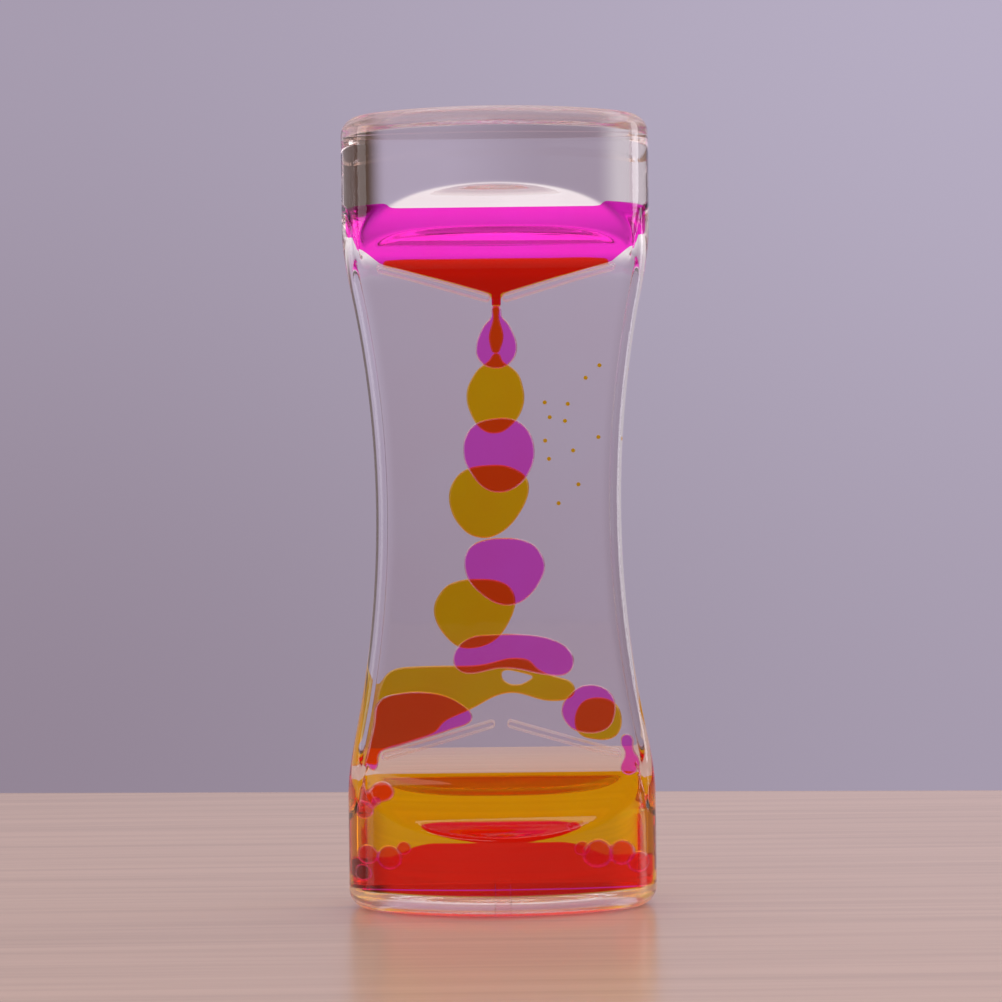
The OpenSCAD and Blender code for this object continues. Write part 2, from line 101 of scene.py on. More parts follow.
class TimerCase(bpy.types.PropertyGroup):
    """Sizes of the moulded case"""

    end_radius: FloatProperty(
        name="End radius", description="Radius of the narrow ends of the oval plan",
        default=10.4 * MM, min=0.0, unit="LENGTH")
    rim_radius: FloatProperty(
        name="Rim radius", description="Rounding of the top and bottom rims",
        default=3 * MM, min=0.0, unit="LENGTH")
    wall: FloatProperty(
        name="Wall", description="Thickness of the moulded walls",
        default=2.2 * MM, min=0.0, unit="LENGTH")
    floor: FloatProperty(
        name="Floor", description="Thickness of the closed end of each block",
        default=3.1 * MM, min=0.0, unit="LENGTH")
    foot: FloatProperty(
        name="Foot", description="Width of the ring that the timer stands on, rim included",
        default=6.3 * MM, min=0.0, unit="LENGTH")
    recess: FloatProperty(
        name="Recess", description="Depth of the recess inside that ring",
        default=0.9 * MM, min=0.0, unit="LENGTH")
    # Up to this height the ends are matt and also carry the painted table tan of satin_end.
    satin: FloatProperty(
        name="Satin ends", description="Height up to which the rounded ends are finely matt",
        default=2.4 * MM, min=0.0, unit="LENGTH")
    waist_width: FloatProperty(
        name="Waist width", description="Width at the narrowest place",
        default=40.2 * MM, min=0.0, unit="LENGTH")
    waist_length: FloatProperty(
        name="Waist length", description="Height of the stretch where the sides curve in",
        default=86 * MM, min=0.0, unit="LENGTH")
    edge_radius: FloatProperty(
        name="Edge radius", description="Rounding of the side edges of the flat panel",
        default=2.9 * MM, min=0.0, unit="LENGTH")
    panel: FloatProperty(
        name="Panel", description="Thickness of the flat panel between the end blocks",
        default=12 * MM, min=0.0, unit="LENGTH")
    cove_radius: FloatProperty(
        name="Cove radius", description="Radius of the coves from the panel out to the blocks",
        default=16 * MM, min=0.0, unit="LENGTH")
    block_height: FloatProperty(
        name="Block height", description="Height of each end block at its middle",
        default=12.8 * MM, min=0.0, unit="LENGTH")
    divider: FloatProperty(
        name="Divider", description="Thickness of the plate that parts the two cells",
        default=1.5 * MM, min=0.0, unit="LENGTH")
    softness: FloatProperty(
        name="Softness", description="Rounding of the moulded edges of the scoops",
        default=0.5 * MM, min=0.0, unit="LENGTH")


class TimerFunnels(bpy.types.PropertyGroup):
    """Sizes of the funnel plates"""

    tip_height: FloatProperty(
        name="Tip height", description="Height of the funnel tips above the nearer end",
        default=30 * MM, min=0.0, unit="LENGTH")
    slope: FloatProperty(
        name="Slope", description="Slope of the funnel plates",
        default=math.radians(16.4), min=0.0, subtype="ANGLE")
    thickness: FloatProperty(
        name="Thickness", description="Thickness of the funnel plates",
        default=1.2 * MM, min=0.0, unit="LENGTH")
    orifice: FloatProperty(
        name="Orifice", description="Gap between the tips of a pair of plates",
        default=2 * MM, min=0.0, unit="LENGTH")
    reach: FloatProperty(
        name="Reach", description="Distance of a plate's outer end from the middle",
        default=19 * MM, min=0.0, unit="LENGTH")


class TimerLiquids(bpy.types.PropertyGroup):
    """Colours and levels of the liquids"""

    magenta: FloatVectorProperty(
        name="Magenta", description="What one face of a magenta drop lets through",
        default=(1.0, 0.4, 0.965), subtype="COLOR", min=0.0, max=1.0)
    magenta_rim: FloatVectorProperty(
        name="Magenta rim", description="What the rim of a magenta drop lets through",
        default=(1.0, 0.86, 0.97), subtype="COLOR", min=0.0, max=1.0)
    deep_magenta: FloatVectorProperty(
        name="Deep magenta", description="What one face of a magenta pool in a block lets through",
        default=(1.0, 0.17, 0.87), subtype="COLOR", min=0.0, max=1.0)
    deep_yellow: FloatVectorProperty(
        name="Deep yellow", description="What one face of a yellow pool in a block lets through",
        default=(1.0, 0.84, 0.004), subtype="COLOR", min=0.0, max=1.0)
    yellow: FloatVectorProperty(
        name="Yellow", description="What one face of a yellow drop lets through",
        default=(1.0, 0.82, 0.035), subtype="COLOR", min=0.0, max=1.0)
    yellow_rim: FloatVectorProperty(
        name="Yellow rim", description="What the rim of a yellow drop lets through",
        default=(1.0, 0.8, 0.3), subtype="COLOR", min=0.0, max=1.0)
    film: FloatProperty(
        name="Film", description="Film of oil between the liquids and the walls",
        default=0.25 * MM, min=0.0, unit="LENGTH")
    magenta_left: FloatProperty(
        name="Magenta left", description="Level of the magenta left in the upper block, below the top",
        default=15.0 * MM, min=0.0, unit="LENGTH")
    yellow_left: FloatProperty(
        name="Yellow left", description="Depth of the yellow left in the upper funnel",
        default=7.2 * MM, min=0.0, unit="LENGTH")
    magenta_settled: FloatProperty(
        name="Magenta settled", description="Height of the magenta in the base",
        default=10.9 * MM, min=0.0, unit="LENGTH")
    yellow_settled: FloatProperty(
        name="Yellow settled", description="Height of the yellow in the base",
        default=20.6 * MM, min=0.0, unit="LENGTH")


class TimerStage(bpy.types.PropertyGroup):
    """The table, the light and the camera"""

    eye_distance: FloatProperty(
        name="Eye distance", description="Distance of the camera from the timer",
        default=403.5 * MM, min=0.0, unit="LENGTH")
    eye_height: FloatProperty(
        name="Eye height", description="Height of the camera above the table",
        default=66.6 * MM, min=0.0, unit="LENGTH")
    lens: FloatProperty(
        name="Lens", description="Focal length in millimetres on a 36 mm sensor", default=87.77, min=1.0)
    roll: FloatProperty(
        name="Roll", description="Lean of the camera about its line of sight",
        default=math.radians(-0.68), subtype="ANGLE")
    table_far: FloatProperty(
        name="Table far edge", description="Distance of the table's far edge behind the timer",
        default=158.5 * MM, min=0.0, unit="LENGTH")
    table_turn: FloatProperty(
        name="Table turn", description="Turn of the table's far edge",
        default=math.radians(-4.4), subtype="ANGLE")
    table_colour: FloatVectorProperty(
        name="Table colour", description="Colour of the wooden table top",
        default=(0.465, 0.325, 0.248), subtype="COLOR", min=0.0, max=1.0)
    wall_light: FloatVectorProperty(
        name="Bright backdrop", description="Colour of the backdrop at the upper right",
        default=(0.48, 0.43, 0.56), subtype="COLOR", min=0.0, max=1.0)
    wall_dark: FloatVectorProperty(
        name="Dark backdrop", description="Colour of the backdrop at the lower left",
        default=(0.29, 0.235, 0.30), subtype="COLOR", min=0.0, max=1.0)
    ceiling: FloatVectorProperty(
        name="Ceiling", description="Colour of the bright ceiling",
        default=(0.95, 0.9, 0.94), subtype="COLOR", min=0.0, max=1.0)
    shade: FloatVectorProperty(
        name="Shade", description="Colour of the dark furniture far to the right",
        default=(0.1, 0.065, 0.05), subtype="COLOR", min=0.0, max=1.0)
    window: FloatVectorProperty(
        name="Window", description="Colour of the light that comes from far to the left",
        default=(0.62, 0.58, 0.64), subtype="COLOR", min=0.0, max=1.0)


PROPERTY_GROUPS = {
    "timer_case": TimerCase,
    "timer_funnels": TimerFunnels,
    "timer_liquids": TimerLiquids,
    "timer_stage": TimerStage,
}


# The form of the case, as distances that are below zero inside it


def softer_max(a, b, softness):
    """The greater of two distances, with the edge where they meet rounded inwards."""
    near = np.maximum(softness - np.abs(a - b), 0.0)
    return np.maximum(a, b) + near * near / (4 * softness)


def rounded(u, v, radius):
    """Distance to a corner of two faces, u and v outside it, rounded by radius."""
    outside = np.hypot(np.maximum(u + radius, 0), np.maximum(v + radius, 0))
    return outside + np.minimum(np.maximum(u, v) + radius, 0) - radius


class CaseForm:
    """The outline of the case, worked out from its driving sizes and the frame's box"""

    def __init__(self):
        self.size = bpy.context.scene.timer_case
        low, high = CAD_BOX
        self.height = high.z
        half_width = high.x
        half_depth = high.y
        end_r = self.size.end_radius
        self.end_x = half_width - end_r
        self.main_r = (self.end_x**2 + half_depth**2 - end_r**2) / (2 * (half_depth - end_r))
        self.main_off = self.main_r - half_depth
        self.seam_x = self.end_x + end_r * self.end_x / (self.main_r - end_r)
        self.seam_y = end_r * self.main_off / (self.main_r - end_r)
        dip = half_width - self.size.waist_width / 2
        self.waist_r = ((self.size.waist_length / 2) ** 2 + dip**2) / (2 * dip)
        self.waist_x = self.size.waist_width / 2 + self.waist_r
        cove_r = self.size.cove_radius
        self.cove_y = self.size.panel / 2 + cove_r
        self.cove_z = self.size.block_height + math.sqrt(cove_r**2 - (self.cove_y - half_depth) ** 2)
        self.near = self.size.divider / 2

    def plan(self, x, y):
        """Distance to the oval plan."""
        x, y = np.abs(x), np.abs(y)
        middle = x * (self.seam_y + self.main_off) < self.seam_x * (y + self.main_off)
        long_arc = np.hypot(x, y + self.main_off) - self.main_r
        short_arc = np.hypot(x - self.end_x, y) - self.size.end_radius
        return np.where(middle, long_arc, short_arc)

    def block(self, x, y, z, inset, end_inset, rim):
        """Distance to the oval block with its rounded rims."""
        end = np.abs(z - self.height / 2) - self.height / 2 + end_inset
        return rounded(self.plan(x, y) + inset, end, rim)

    def waist(self, x, y, z, inset):
        """Distance to the drawn-in sides, whose edges are round between the scoops."""
        edge_r = self.size.edge_radius
        out = self.waist_r + edge_r - np.hypot(np.abs(x) - self.waist_x, z - self.height / 2)
        face = np.abs(y) - (self.size.panel / 2 - edge_r)
        edge = np.hypot(np.maximum(out, 0), np.maximum(face, 0)) - (edge_r - inset)
        return np.minimum(out, edge + np.minimum(np.maximum(out, face), 0))

    def scoop(self, y, z, inset):
        """Distance to the flat panel and the coves at its two ends."""
        y = np.abs(y)
        z = np.minimum(z, self.height - z)
        panel = np.minimum(y - (self.size.panel / 2 - inset), z - self.cove_z)
        cove = self.size.cove_radius + inset - np.hypot(y - self.cove_y, z - self.cove_z)
        return np.maximum(panel, cove)

    def distance(self, x, y, z, inset, end_inset, rim):
        """Distance to the whole form, drawn in by inset and at its ends by end_inset."""
        soft = self.size.softness
        block = self.block(x, y, z, inset, end_inset, rim)
        scooped = softer_max(block, self.scoop(y, z, inset), soft)
        return np.maximum(scooped, softer_max(block, self.waist(x, y, z, inset), 2 * soft))

    def outside(self, x, y, z):
        """Distance to the outer surface."""
        return self.distance(x, y, z, 0.0, 0.0, self.size.rim_radius)

    def hollow(self, gap=0.0):
        """Distance to the wall of a cell, drawn in by gap."""

        def cell(x, y, z):
            return self.distance(x, y, z, self.size.wall + gap, self.size.floor + gap, INNER_RIM)

        return cell

    def levels(self, low, rim):
        """Heights of the rows that a half of the case needs, closer together where it curves more."""
        turn = np.linspace(0, math.pi / 2, RIM_ROWS)
        start = low + rim * (1 - np.cos(turn))
        cove_low = self.cove_z - self.size.cove_radius
        block = np.arange(start[-1] + 1 * MM, cove_low, 1 * MM)
        cove = self.cove_z - self.size.cove_radius * np.cos(np.linspace(0.12, math.pi / 2, COVE_ROWS))
        panel = np.linspace(self.cove_z + 0.8 * MM, self.height / 2, PANEL_ROWS)
        lower = np.concatenate([start, block, cove, panel])
        return np.concatenate([lower, self.height - lower[-2::-1]])


# Meshes


# Spaces between the rays along the straight line of a row, and round each of its two ends
COLUMNS = 70
CORNER_RAYS = 38
# Half the length of that line, and the reach of a ray
HALF_LINE = 14 * MM
LONGEST_RAY = 40 * MM
# Steps of the search for the wall, and the distance in metres that counts as touching
HALVINGS = 28
TOUCHING = 1e-9
# Distances in metres under which points are merged and edges are dissolved
MERGED = 2e-7
DISSOLVED = 1e-8


def ray_rows(rows, start_y, right, left):
    """Points where rays from a line at start_y meet a form, one row of points for each of rows.

    Each row is a height and a distance function of x, y and z, or None for the line itself. The rays
    fan out at the line's right end, run straight out of it and fan out again at its left end."""
    turn = np.linspace(0, math.pi / 2, CORNER_RAYS + 1)
    along = np.linspace(0, 1, COLUMNS + 1)[1:-1]
    share = np.concatenate([np.zeros_like(turn), along, np.ones_like(turn)])
    heading = np.concatenate([turn, np.full(len(along), math.pi / 2), turn + math.pi / 2])
    points = []
    for (z, distance), right_x, left_x in zip(rows, right, left):
        x = right_x + (left_x - right_x) * share
        y = np.full_like(x, start_y)
        if distance is not None:
            near, far = np.zeros_like(x), np.full_like(x, LONGEST_RAY)
            for _ in range(HALVINGS):
                middle = (near + far) / 2
                px, py = x + middle * np.cos(heading), y + middle * np.sin(heading)
                within = distance(px, py, np.full_like(px, z)) <= TOUCHING
                near, far = np.where(within, middle, near), np.where(within, far, middle)
            x, y = x + near * np.cos(heading), y + near * np.sin(heading)
        points.append(np.stack([x, y, np.full_like(x, z)], axis=1))
    return np.array(points)


def quads(rows, columns, first=0, closed=False):
    """Faces between the rows of a grid of points, closed round each row if asked."""
    faces = []
    for i in range(rows - 1):
        for j in range(columns if closed else columns - 1):
            a, b = first + i * columns + j, first + i * columns + (j + 1) % columns
            faces.append((a, b, b + columns, a + columns))
    return faces


def rim_of(points, first=0):
    """Numbers of the points round a grid's edge, without those that lie on the one before."""
    rows, columns = points.shape[:2]
    right = [i * columns for i in range(rows)]
    top = [(rows - 1) * columns + j for j in range(columns)]
    left = [i * columns + columns - 1 for i in range(rows - 1, -1, -1)]
    bottom = list(range(columns - 1, -1, -1))
    flat = points.reshape(-1, 3)
    loop = []
    for n in right + top + left + bottom:
        if not loop or np.abs(flat[n] - flat[loop[-1]]).max() > TOUCHING:
            loop.append(n)
    if np.abs(flat[loop[0]] - flat[loop[-1]]).max() <= TOUCHING:
        loop.pop()
    return [first + n for n in loop]


def fill(points, *loops):
    """Triangles that fill the first loop of point numbers, less the others."""
    order = [n for loop in loops for n in loop]
    outlines = [[Vector(points[n]) for n in loop] for loop in loops]
    return [tuple(order[i] for i in triangle) for triangle in tessellate_polygon(outlines)]


def mesh_piece(name, points, faces, materials, kinds=None, sharp=math.radians(50)):
    """A smooth closed mesh from points and faces, where kinds gives each face's material."""
    mesh = bpy.data.meshes.new(name)
    mesh.from_pydata([tuple(p) for p in points], [], faces)
    for material in materials:
        mesh.materials.append(material)
    if kinds is not None:
        mesh.polygons.foreach_set("material_index", kinds)
    work = bmesh.new()
    work.from_mesh(mesh)
    bmesh.ops.remove_doubles(work, verts=work.verts, dist=MERGED)
    bmesh.ops.dissolve_degenerate(work, edges=work.edges, dist=DISSOLVED)
    bmesh.ops.recalc_face_normals(work, faces=work.faces)
    for face in work.faces:
        face.smooth = True
    work.to_mesh(mesh)
    work.free()
    mesh.set_sharp_from_angle(angle=sharp)
    piece = bpy.data.objects.new(name, mesh)
    bpy.context.scene.collection.objects.link(piece)
    return piece


def stand_in(piece, cad_node):
    """The piece takes the place of a CAD node, and rides on its body."""
    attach(piece, frame["nodes"][cad_node]["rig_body"])
    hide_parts(cad_node)
    return piece


def to_side(points, side):
    """Points of the rear half, put on the side asked for."""
    return points * np.array([1, side, 1])


def same_line(rows):
    """The ends of the rays' line where it is the same for every row."""
    return np.full(len(rows), HALF_LINE), np.full(len(rows), -HALF_LINE)


def outer_rows(form):
    """Rows of the outer surface, from the middle of the base round to the middle of the top."""
    size = form.size
    chamfer = 0.15 * MM

    def ring(inset):
        return lambda x, y, z: form.plan(x, y) + inset

    base = [(size.recess, None), (size.recess, ring(size.foot)), (chamfer, ring(size.foot)),
            (0.0, ring(size.foot - chamfer))]
    sides = [(z, form.outside) for z in form.levels(0.0, size.rim_radius)]
    top = [(form.height - z, distance) for z, distance in base[::-1]]
    return base + sides + top


def hollow_rows(form, gap=0.0):
    """Rows of a cell's wall, from the middle of its floor round to the middle of its roof."""
    cell = form.hollow(gap)
    floor = form.size.floor + gap
    levels = form.levels(floor, INNER_RIM)
    return [(floor, None)] + [(z, cell) for z in levels] + [(form.height - floor, None)]


def shell_piece(name, side, materials):
    """One moulded half: the outer surface, the cell and the joint face between them.

    The materials are those of the polished outside, of the inner faces and of the satin ends, which carry a
    painted table tan."""
    form = CaseForm()
    outer, inner = outer_rows(form), hollow_rows(form)
    outside = ray_rows(outer, form.near, *same_line(outer))
    inside = ray_rows(inner, form.near, *same_line(inner))
    first = outside.shape[0] * outside.shape[1]
    points = np.concatenate([outside.reshape(-1, 3), inside.reshape(-1, 3)])
    skin = quads(*outside.shape[:2])
    cell = quads(*inside.shape[:2], first=first)
    joint = fill(points, rim_of(outside), rim_of(inside, first))
    heights = points[:, 2]
    satin = form.size.satin
    middles = [heights[list(face)].mean() for face in skin]
    # Faces low on each end get the satin finish with its painted table tan.
    kinds = [2 if min(z, form.height - z) < satin else 0 for z in middles]
    kinds += [1] * (len(cell) + len(joint))
    return mesh_piece(name, to_side(points, side), skin + cell + joint, materials, kinds)


def divider_piece(name, materials):
    """The plate between the two cells, as wide and high as the case."""
    form = CaseForm()
    rows = outer_rows(form)
    grid = ray_rows(rows, form.near, *same_line(rows))
    loop = grid.reshape(-1, 3)[rim_of(grid)]
    clear = 0.01 * MM
    half = form.near - clear
    slices = np.array([loop * [1, 0, 1] + [0, y, 0] for y in (-half, half)])
    count = len(loop)
    points = slices.reshape(-1, 3)
    edge = quads(2, count, closed=True)
    faces = fill(points, list(range(count))) + fill(points, list(range(count, 2 * count)))
    kinds = [0] * len(edge) + [1] * len(faces)
    return mesh_piece(name, points, edge + faces, materials, kinds)


def filling_piece(name, side, rows, near, materials, right, left):
    """A body that fills part of a cell: rows of points round it, and a flat face towards the divider."""
    grid = ray_rows(rows, near, right, left)
    points = grid.reshape(-1, 3)
    around = quads(*grid.shape[:2])
    face = fill(points, rim_of(grid))
    return mesh_piece(name, to_side(points, side), around + face, materials)


def smooth_loop(points, spacing=0.28 * MM):
    """Closed cubic spline through points given in millimetres."""
    p = np.array(points) * MM
    step = np.linalg.norm(np.roll(p, -1, 0) - p, axis=1)
    slope = (np.roll(p, -1, 0) - p) / step[:, None]
    count = len(p)
    bending = np.zeros((count, count))
    for i in range(count):
        bending[i, i - 1] += step[i - 1]
        bending[i, i] += 2 * (step[i - 1] + step[i])
        bending[i, (i + 1) % count] += step[i]
    bend = np.linalg.solve(bending, 6 * (slope - np.roll(slope, 1, 0)))
    curve = []
    for i in range(count):
        j, length = (i + 1) % count, step[i]
        for t in np.linspace(0, length, max(2, round(length / spacing)), endpoint=False):
            back = length - t
            start = (p[i] / length - bend[i] * length / 6) * back
            end = (p[j] / length - bend[j] * length / 6) * t
            curve.append(start + end + (bend[i] * back**3 + bend[j] * t**3) / (6 * length))
    return np.array(curve)


def outward(curve):
    """Unit normals of a closed curve in X and Z, out of the area inside it."""
    tangent = np.roll(curve, -1, 0) - np.roll(curve, 1, 0)
    tangent /= np.linalg.norm(tangent, axis=1)[:, None]
    area = np.sum(curve[:, 0] * np.roll(curve[:, 1], -1) - curve[:, 1] * np.roll(curve[:, 0], -1))
    return np.stack([tangent[:, 1], -tangent[:, 0]], axis=1) * np.sign(area)


# Steps of a round rim, from its widest line to either face
ROUNDING_STEPS = 8


def flat_piece(name, outline, mid_y, half_depth, rim, materials, hole=None):
    """A flat body with the outline of a closed curve in X and Z and a round rim as wide as rim."""
    turns = np.linspace(-math.pi / 2, math.pi / 2, 2 * ROUNDING_STEPS + 1)
    points, faces, fronts, backs = [], [], [], []
    for curve, inwards in [(outline, 1)] + ([(hole, -1)] if hole is not None else []):
        first, count = len(points), len(curve)
        normal = outward(curve)
        for turn in turns:
            ring = curve - inwards * normal * rim * (1 - math.cos(turn))
            depth = mid_y + half_depth * math.sin(turn)
            points += [(x, depth, z) for x, z in ring]
        faces += quads(len(turns), count, first, closed=True)
        fronts.append(list(range(first, first + count)))
        backs.append(list(range(len(points) - count, len(points))))
    faces += fill(points, *fronts) + fill(points, *backs)
    return mesh_piece(name, points, faces, materials)


def ball_points(centre, radius, squash, rows=14, columns=22):
    """Points and faces of a drop that sags a little: wider low down and flatter underneath."""
    points = []
    for turn in np.linspace(0, math.pi, rows + 1):
        up = math.cos(turn)
        sag = 1 + squash * (0.5 - 0.5 * up) * math.sin(turn)
        out = math.sin(turn) * radius * sag
        height = up * radius * (1 if up > 0 else 1 - squash)
        for around in np.arange(columns) * 2 * math.pi / columns:
            points.append(centre + Vector((out * math.cos(around), out * math.sin(around), height)))
    return points, quads(rows + 1, columns, closed=True)


def ball_cluster(name, balls, materials, squash):
    """Several small drops in one piece, each given by its centre and radius."""
    points, faces = [], []
    for centre, radius in balls:
        more_points, more_faces = ball_points(Vector(centre), radius, squash)
        faces += [tuple(len(points) + n for n in face) for face in more_faces]
        points += more_points
    return mesh_piece(name, points, faces, materials)


# Materials, whose noises are given in waves a metre


PLASTIC_IOR = 1.49
MOULDING_WAVES, HAZE_WAVES, SATIN_WAVES = 90.0, 700.0, 300.0
BOUNDARY_WAVES, PLATE_WAVES, LIQUID_WAVES = 60.0, 80.0, 120.0
# Grain of the table along X and across it
GRAIN_WAVES = (5.0, 210.0, 1.0)
# Painted reflection: the table's tan, painted into the light that the finely matt ends scatter, where the
# table shows through the base
PAINTED_TABLE_TAN = (0.95, 0.74, 0.64)
# How edge-on a face is, from 0 to 1, where the rim of a drop or a pool starts and is whole
DROP_RIM = (0.3, 0.62)
POOL_RIM = (0.93, 1.0)
# Share of a rim's light that is a reflection
RIM_GLOSS = {"magenta": 0.45, "yellow": 0.35}


def node(tree, kind, inputs=None, output=0, **settings):
    """An output of a new node, whose inputs are values or the outputs of other nodes."""
    made = tree.nodes.new(kind)
    for key, value in settings.items():
        setattr(made, key, value)
    for key, value in (inputs or {}).items():
        if isinstance(value, bpy.types.NodeSocket):
            tree.links.new(value, made.inputs[key])
        else:
            made.inputs[key].default_value = value
    return made.outputs[output] if made.outputs else None


def new_material(name, colour):
    """A material whose node tree is still empty, and that tree."""
    material = bpy.data.materials.new(name)
    material.use_nodes = True
    material.diffuse_color = (*colour, 1.0)
    material.node_tree.nodes.clear()
    return material, material.node_tree


def with_surface(material, surface):
    """The material, once its surface is joined to its output."""
    node(material.node_tree, "ShaderNodeOutputMaterial", {"Surface": surface})
    return material


def noise(tree, waves, detail=2.0):
    """Noise in the piece's own coordinates, with that many waves a metre."""
    place = node(tree, "ShaderNodeTexCoord", output="Object")
    return node(tree, "ShaderNodeTexNoise", {"Scale": waves, "Detail": detail, "Vector": place}, "Fac")


def between(tree, value, low, high, to_low=0.0, to_high=1.0):
    """A value mapped smoothly from one range to another."""
    ends = {"From Min": low, "From Max": high, "To Min": to_low, "To Max": to_high}
    return node(tree, "ShaderNodeMapRange", {"Value": value, **ends}, "Result",
                interpolation_type="SMOOTHSTEP")


def edge_on(tree, low, high, most=1.0):
    """A value that grows to most as a face turns edge-on, from low to high."""
    facing = node(tree, "ShaderNodeLayerWeight", {"Blend": 0.5}, "Facing")
    return between(tree, facing, low, high, 0.0, most)


def mixed(tree, share, first, second):
    """Two shaders mixed, with that share of the second."""
    return node(tree, "ShaderNodeMixShader", {0: share, 1: first, 2: second})


def blended(tree, share, first, second):
    """Two colours mixed, with that share of the second. Each is three numbers or a node's output."""
    a, b = [c if isinstance(c, bpy.types.NodeSocket) else (*c, 1.0) for c in (first, second)]
    return node(tree, "ShaderNodeMix", {0: share, "A": a, "B": b}, "Result", data_type="RGBA")


def product(tree, first, second):
    """The product of two values."""
    return node(tree, "ShaderNodeMath", {0: first, 1: second}, operation="MULTIPLY")


def drifting(tree, colour, share, waves):
    """A colour that is a little deeper in some places, with its red kept."""
    red, green, blue = colour
    deeper = (red, green * (1 - share), blue * (1 - share))
    return blended(tree, noise(tree, waves), colour, deeper)


def see_through(tree, colour):
    """What a clear face lets through: three numbers or a node's output."""
    tint = colour if isinstance(colour, bpy.types.NodeSocket) else (*colour, 1)
    return node(tree, "ShaderNodeBsdfTransparent", {"Color": tint})


def moulded_plastic():
    """Outer face of the clear case: polished, with the faint waviness of a moulding."""
    material, tree = new_material("moulded_clear_plastic", (0.88, 0.86, 0.9))
    bump = node(tree, "ShaderNodeBump",
                {"Strength": 0.05, "Distance": 0.4 * MM, "Height": noise(tree, MOULDING_WAVES)})
    haze = between(tree, noise(tree, HAZE_WAVES, 4.0), 0.45, 0.8, 0.0, 0.03)
    glass = node(tree, "ShaderNodeBsdfGlass",
                 {"Color": (0.985, 0.98, 0.985, 1), "IOR": PLASTIC_IOR, "Roughness": haze, "Normal": bump})
    shadow = node(tree, "ShaderNodeLightPath", output="Is Shadow Ray")
    return with_surface(material, mixed(tree, shadow, glass, see_through(tree, (0.93, 0.92, 0.92))))


def satin_end():
    """The rounded and recessed ends of the case, finely matt from the mould, with the table's tan painted
    into their scatter as a painted reflection of the table.
    """
    material, tree = new_material("satin_ends_painted_table_tan", (0.9, 0.84, 0.83))
    # Painted reflection: the translucent and diffuse parts are tan, so the ends show the table's colour
    # where it shows through the base.
    matt = node(tree, "ShaderNodeBsdfTranslucent", {"Color": drifting(tree, PAINTED_TABLE_TAN, 0.1, SATIN_WAVES)})
    back = node(tree, "ShaderNodeBsdfDiffuse", {"Color": (*PAINTED_TABLE_TAN, 1)})
    satin = mixed(tree, 0.3, see_through(tree, (1.0, 0.965, 0.95)), mixed(tree, 0.5, matt, back))
    glass = node(tree, "ShaderNodeBsdfGlass", {"Roughness": 0.04, "IOR": PLASTIC_IOR})
    return with_surface(material, mixed(tree, 0.5, satin, glass))


def faint_boundary(name, tint, ior, roughness):
    """Boundary between two clear materials that bend light almost alike."""
    material, tree = new_material(name, tint)
    through = see_through(tree, drifting(tree, tint, 0.01, BOUNDARY_WAVES))
    gloss = node(tree, "ShaderNodeBsdfGlossy", {"Color": (1, 1, 1, 1), "Roughness": roughness})
    fresnel = node(tree, "ShaderNodeFresnel", {"IOR": ior})
    return with_surface(material, mixed(tree, fresnel, through, gloss))


def plate_plastic():
    """Thin clear plates in oil, which only their bright edges show."""
    material, tree = new_material("clear_funnel_plates", (0.93, 0.92, 0.93))
    body = see_through(tree, drifting(tree, (1.0, 0.995, 0.995), 0.01, PLATE_WAVES))
    lit = node(tree, "ShaderNodeBsdfTranslucent", {"Color": (1.0, 0.97, 0.96, 1)})
    shine = node(tree, "ShaderNodeBsdfGlossy", {"Color": (1, 0.98, 0.97, 1), "Roughness": 0.3})
    turned = edge_on(tree, 0.2, 0.6, 0.4)
    return with_surface(material, mixed(tree, turned, body, mixed(tree, 0.5, lit, shine)))


def liquid(name):
    """Coloured liquid: its flat faces tint what lies behind, and its round rim catches the light.

    The name is a colour, or a colour after deep_ for the thicker pools in the blocks."""
    colour = name.removeprefix("deep_")
    colours = bpy.context.scene.timer_liquids
    tint, rim_tint = getattr(colours, name), getattr(colours, colour + "_rim")
    material, tree = new_material(name + "_liquid", tint)
    body = see_through(tree, drifting(tree, tint, 0.1, LIQUID_WAVES))
    shine = node(tree, "ShaderNodeBsdfGlossy", {"Color": (*rim_tint, 1), "Roughness": 0.18})
    rim = mixed(tree, RIM_GLOSS[colour], see_through(tree, rim_tint), shine)
    edge = edge_on(tree, *(DROP_RIM if name == colour else POOL_RIM))
    return with_surface(material, mixed(tree, edge, body, rim))


# How each finish is made, and the finishes that are made already
MAKERS = {
    "plastic": (moulded_plastic,),
    "end": (satin_end,),
    "plate": (plate_plastic,),
    "joint": (faint_boundary, "clear_inner_faces", (1.0, 0.998, 1.0), 1.04, 0.05),
    "plug": (faint_boundary, "clear_cemented_plugs", (1.0, 0.98, 0.985), 1.06, 0.15),
    "oil": (faint_boundary, "clear_carrier_oil", (1.0, 0.999, 0.996), 1.015, 0.05),
    "magenta": (liquid, "magenta"),
    "deep_magenta": (liquid, "deep_magenta"),
    "yellow": (liquid, "yellow"),
    "deep_yellow": (liquid, "deep_yellow"),
}
MADE = {}


def finish(name):
    """The material of that name, made when it is first asked for and shared after that."""
    if name not in MADE:
        maker, *values = MAKERS[name]
        MADE[name] = maker(*values)
    return MADE[name]


# Outlines of the drops in X and Z, in millimetres, as seen from the front

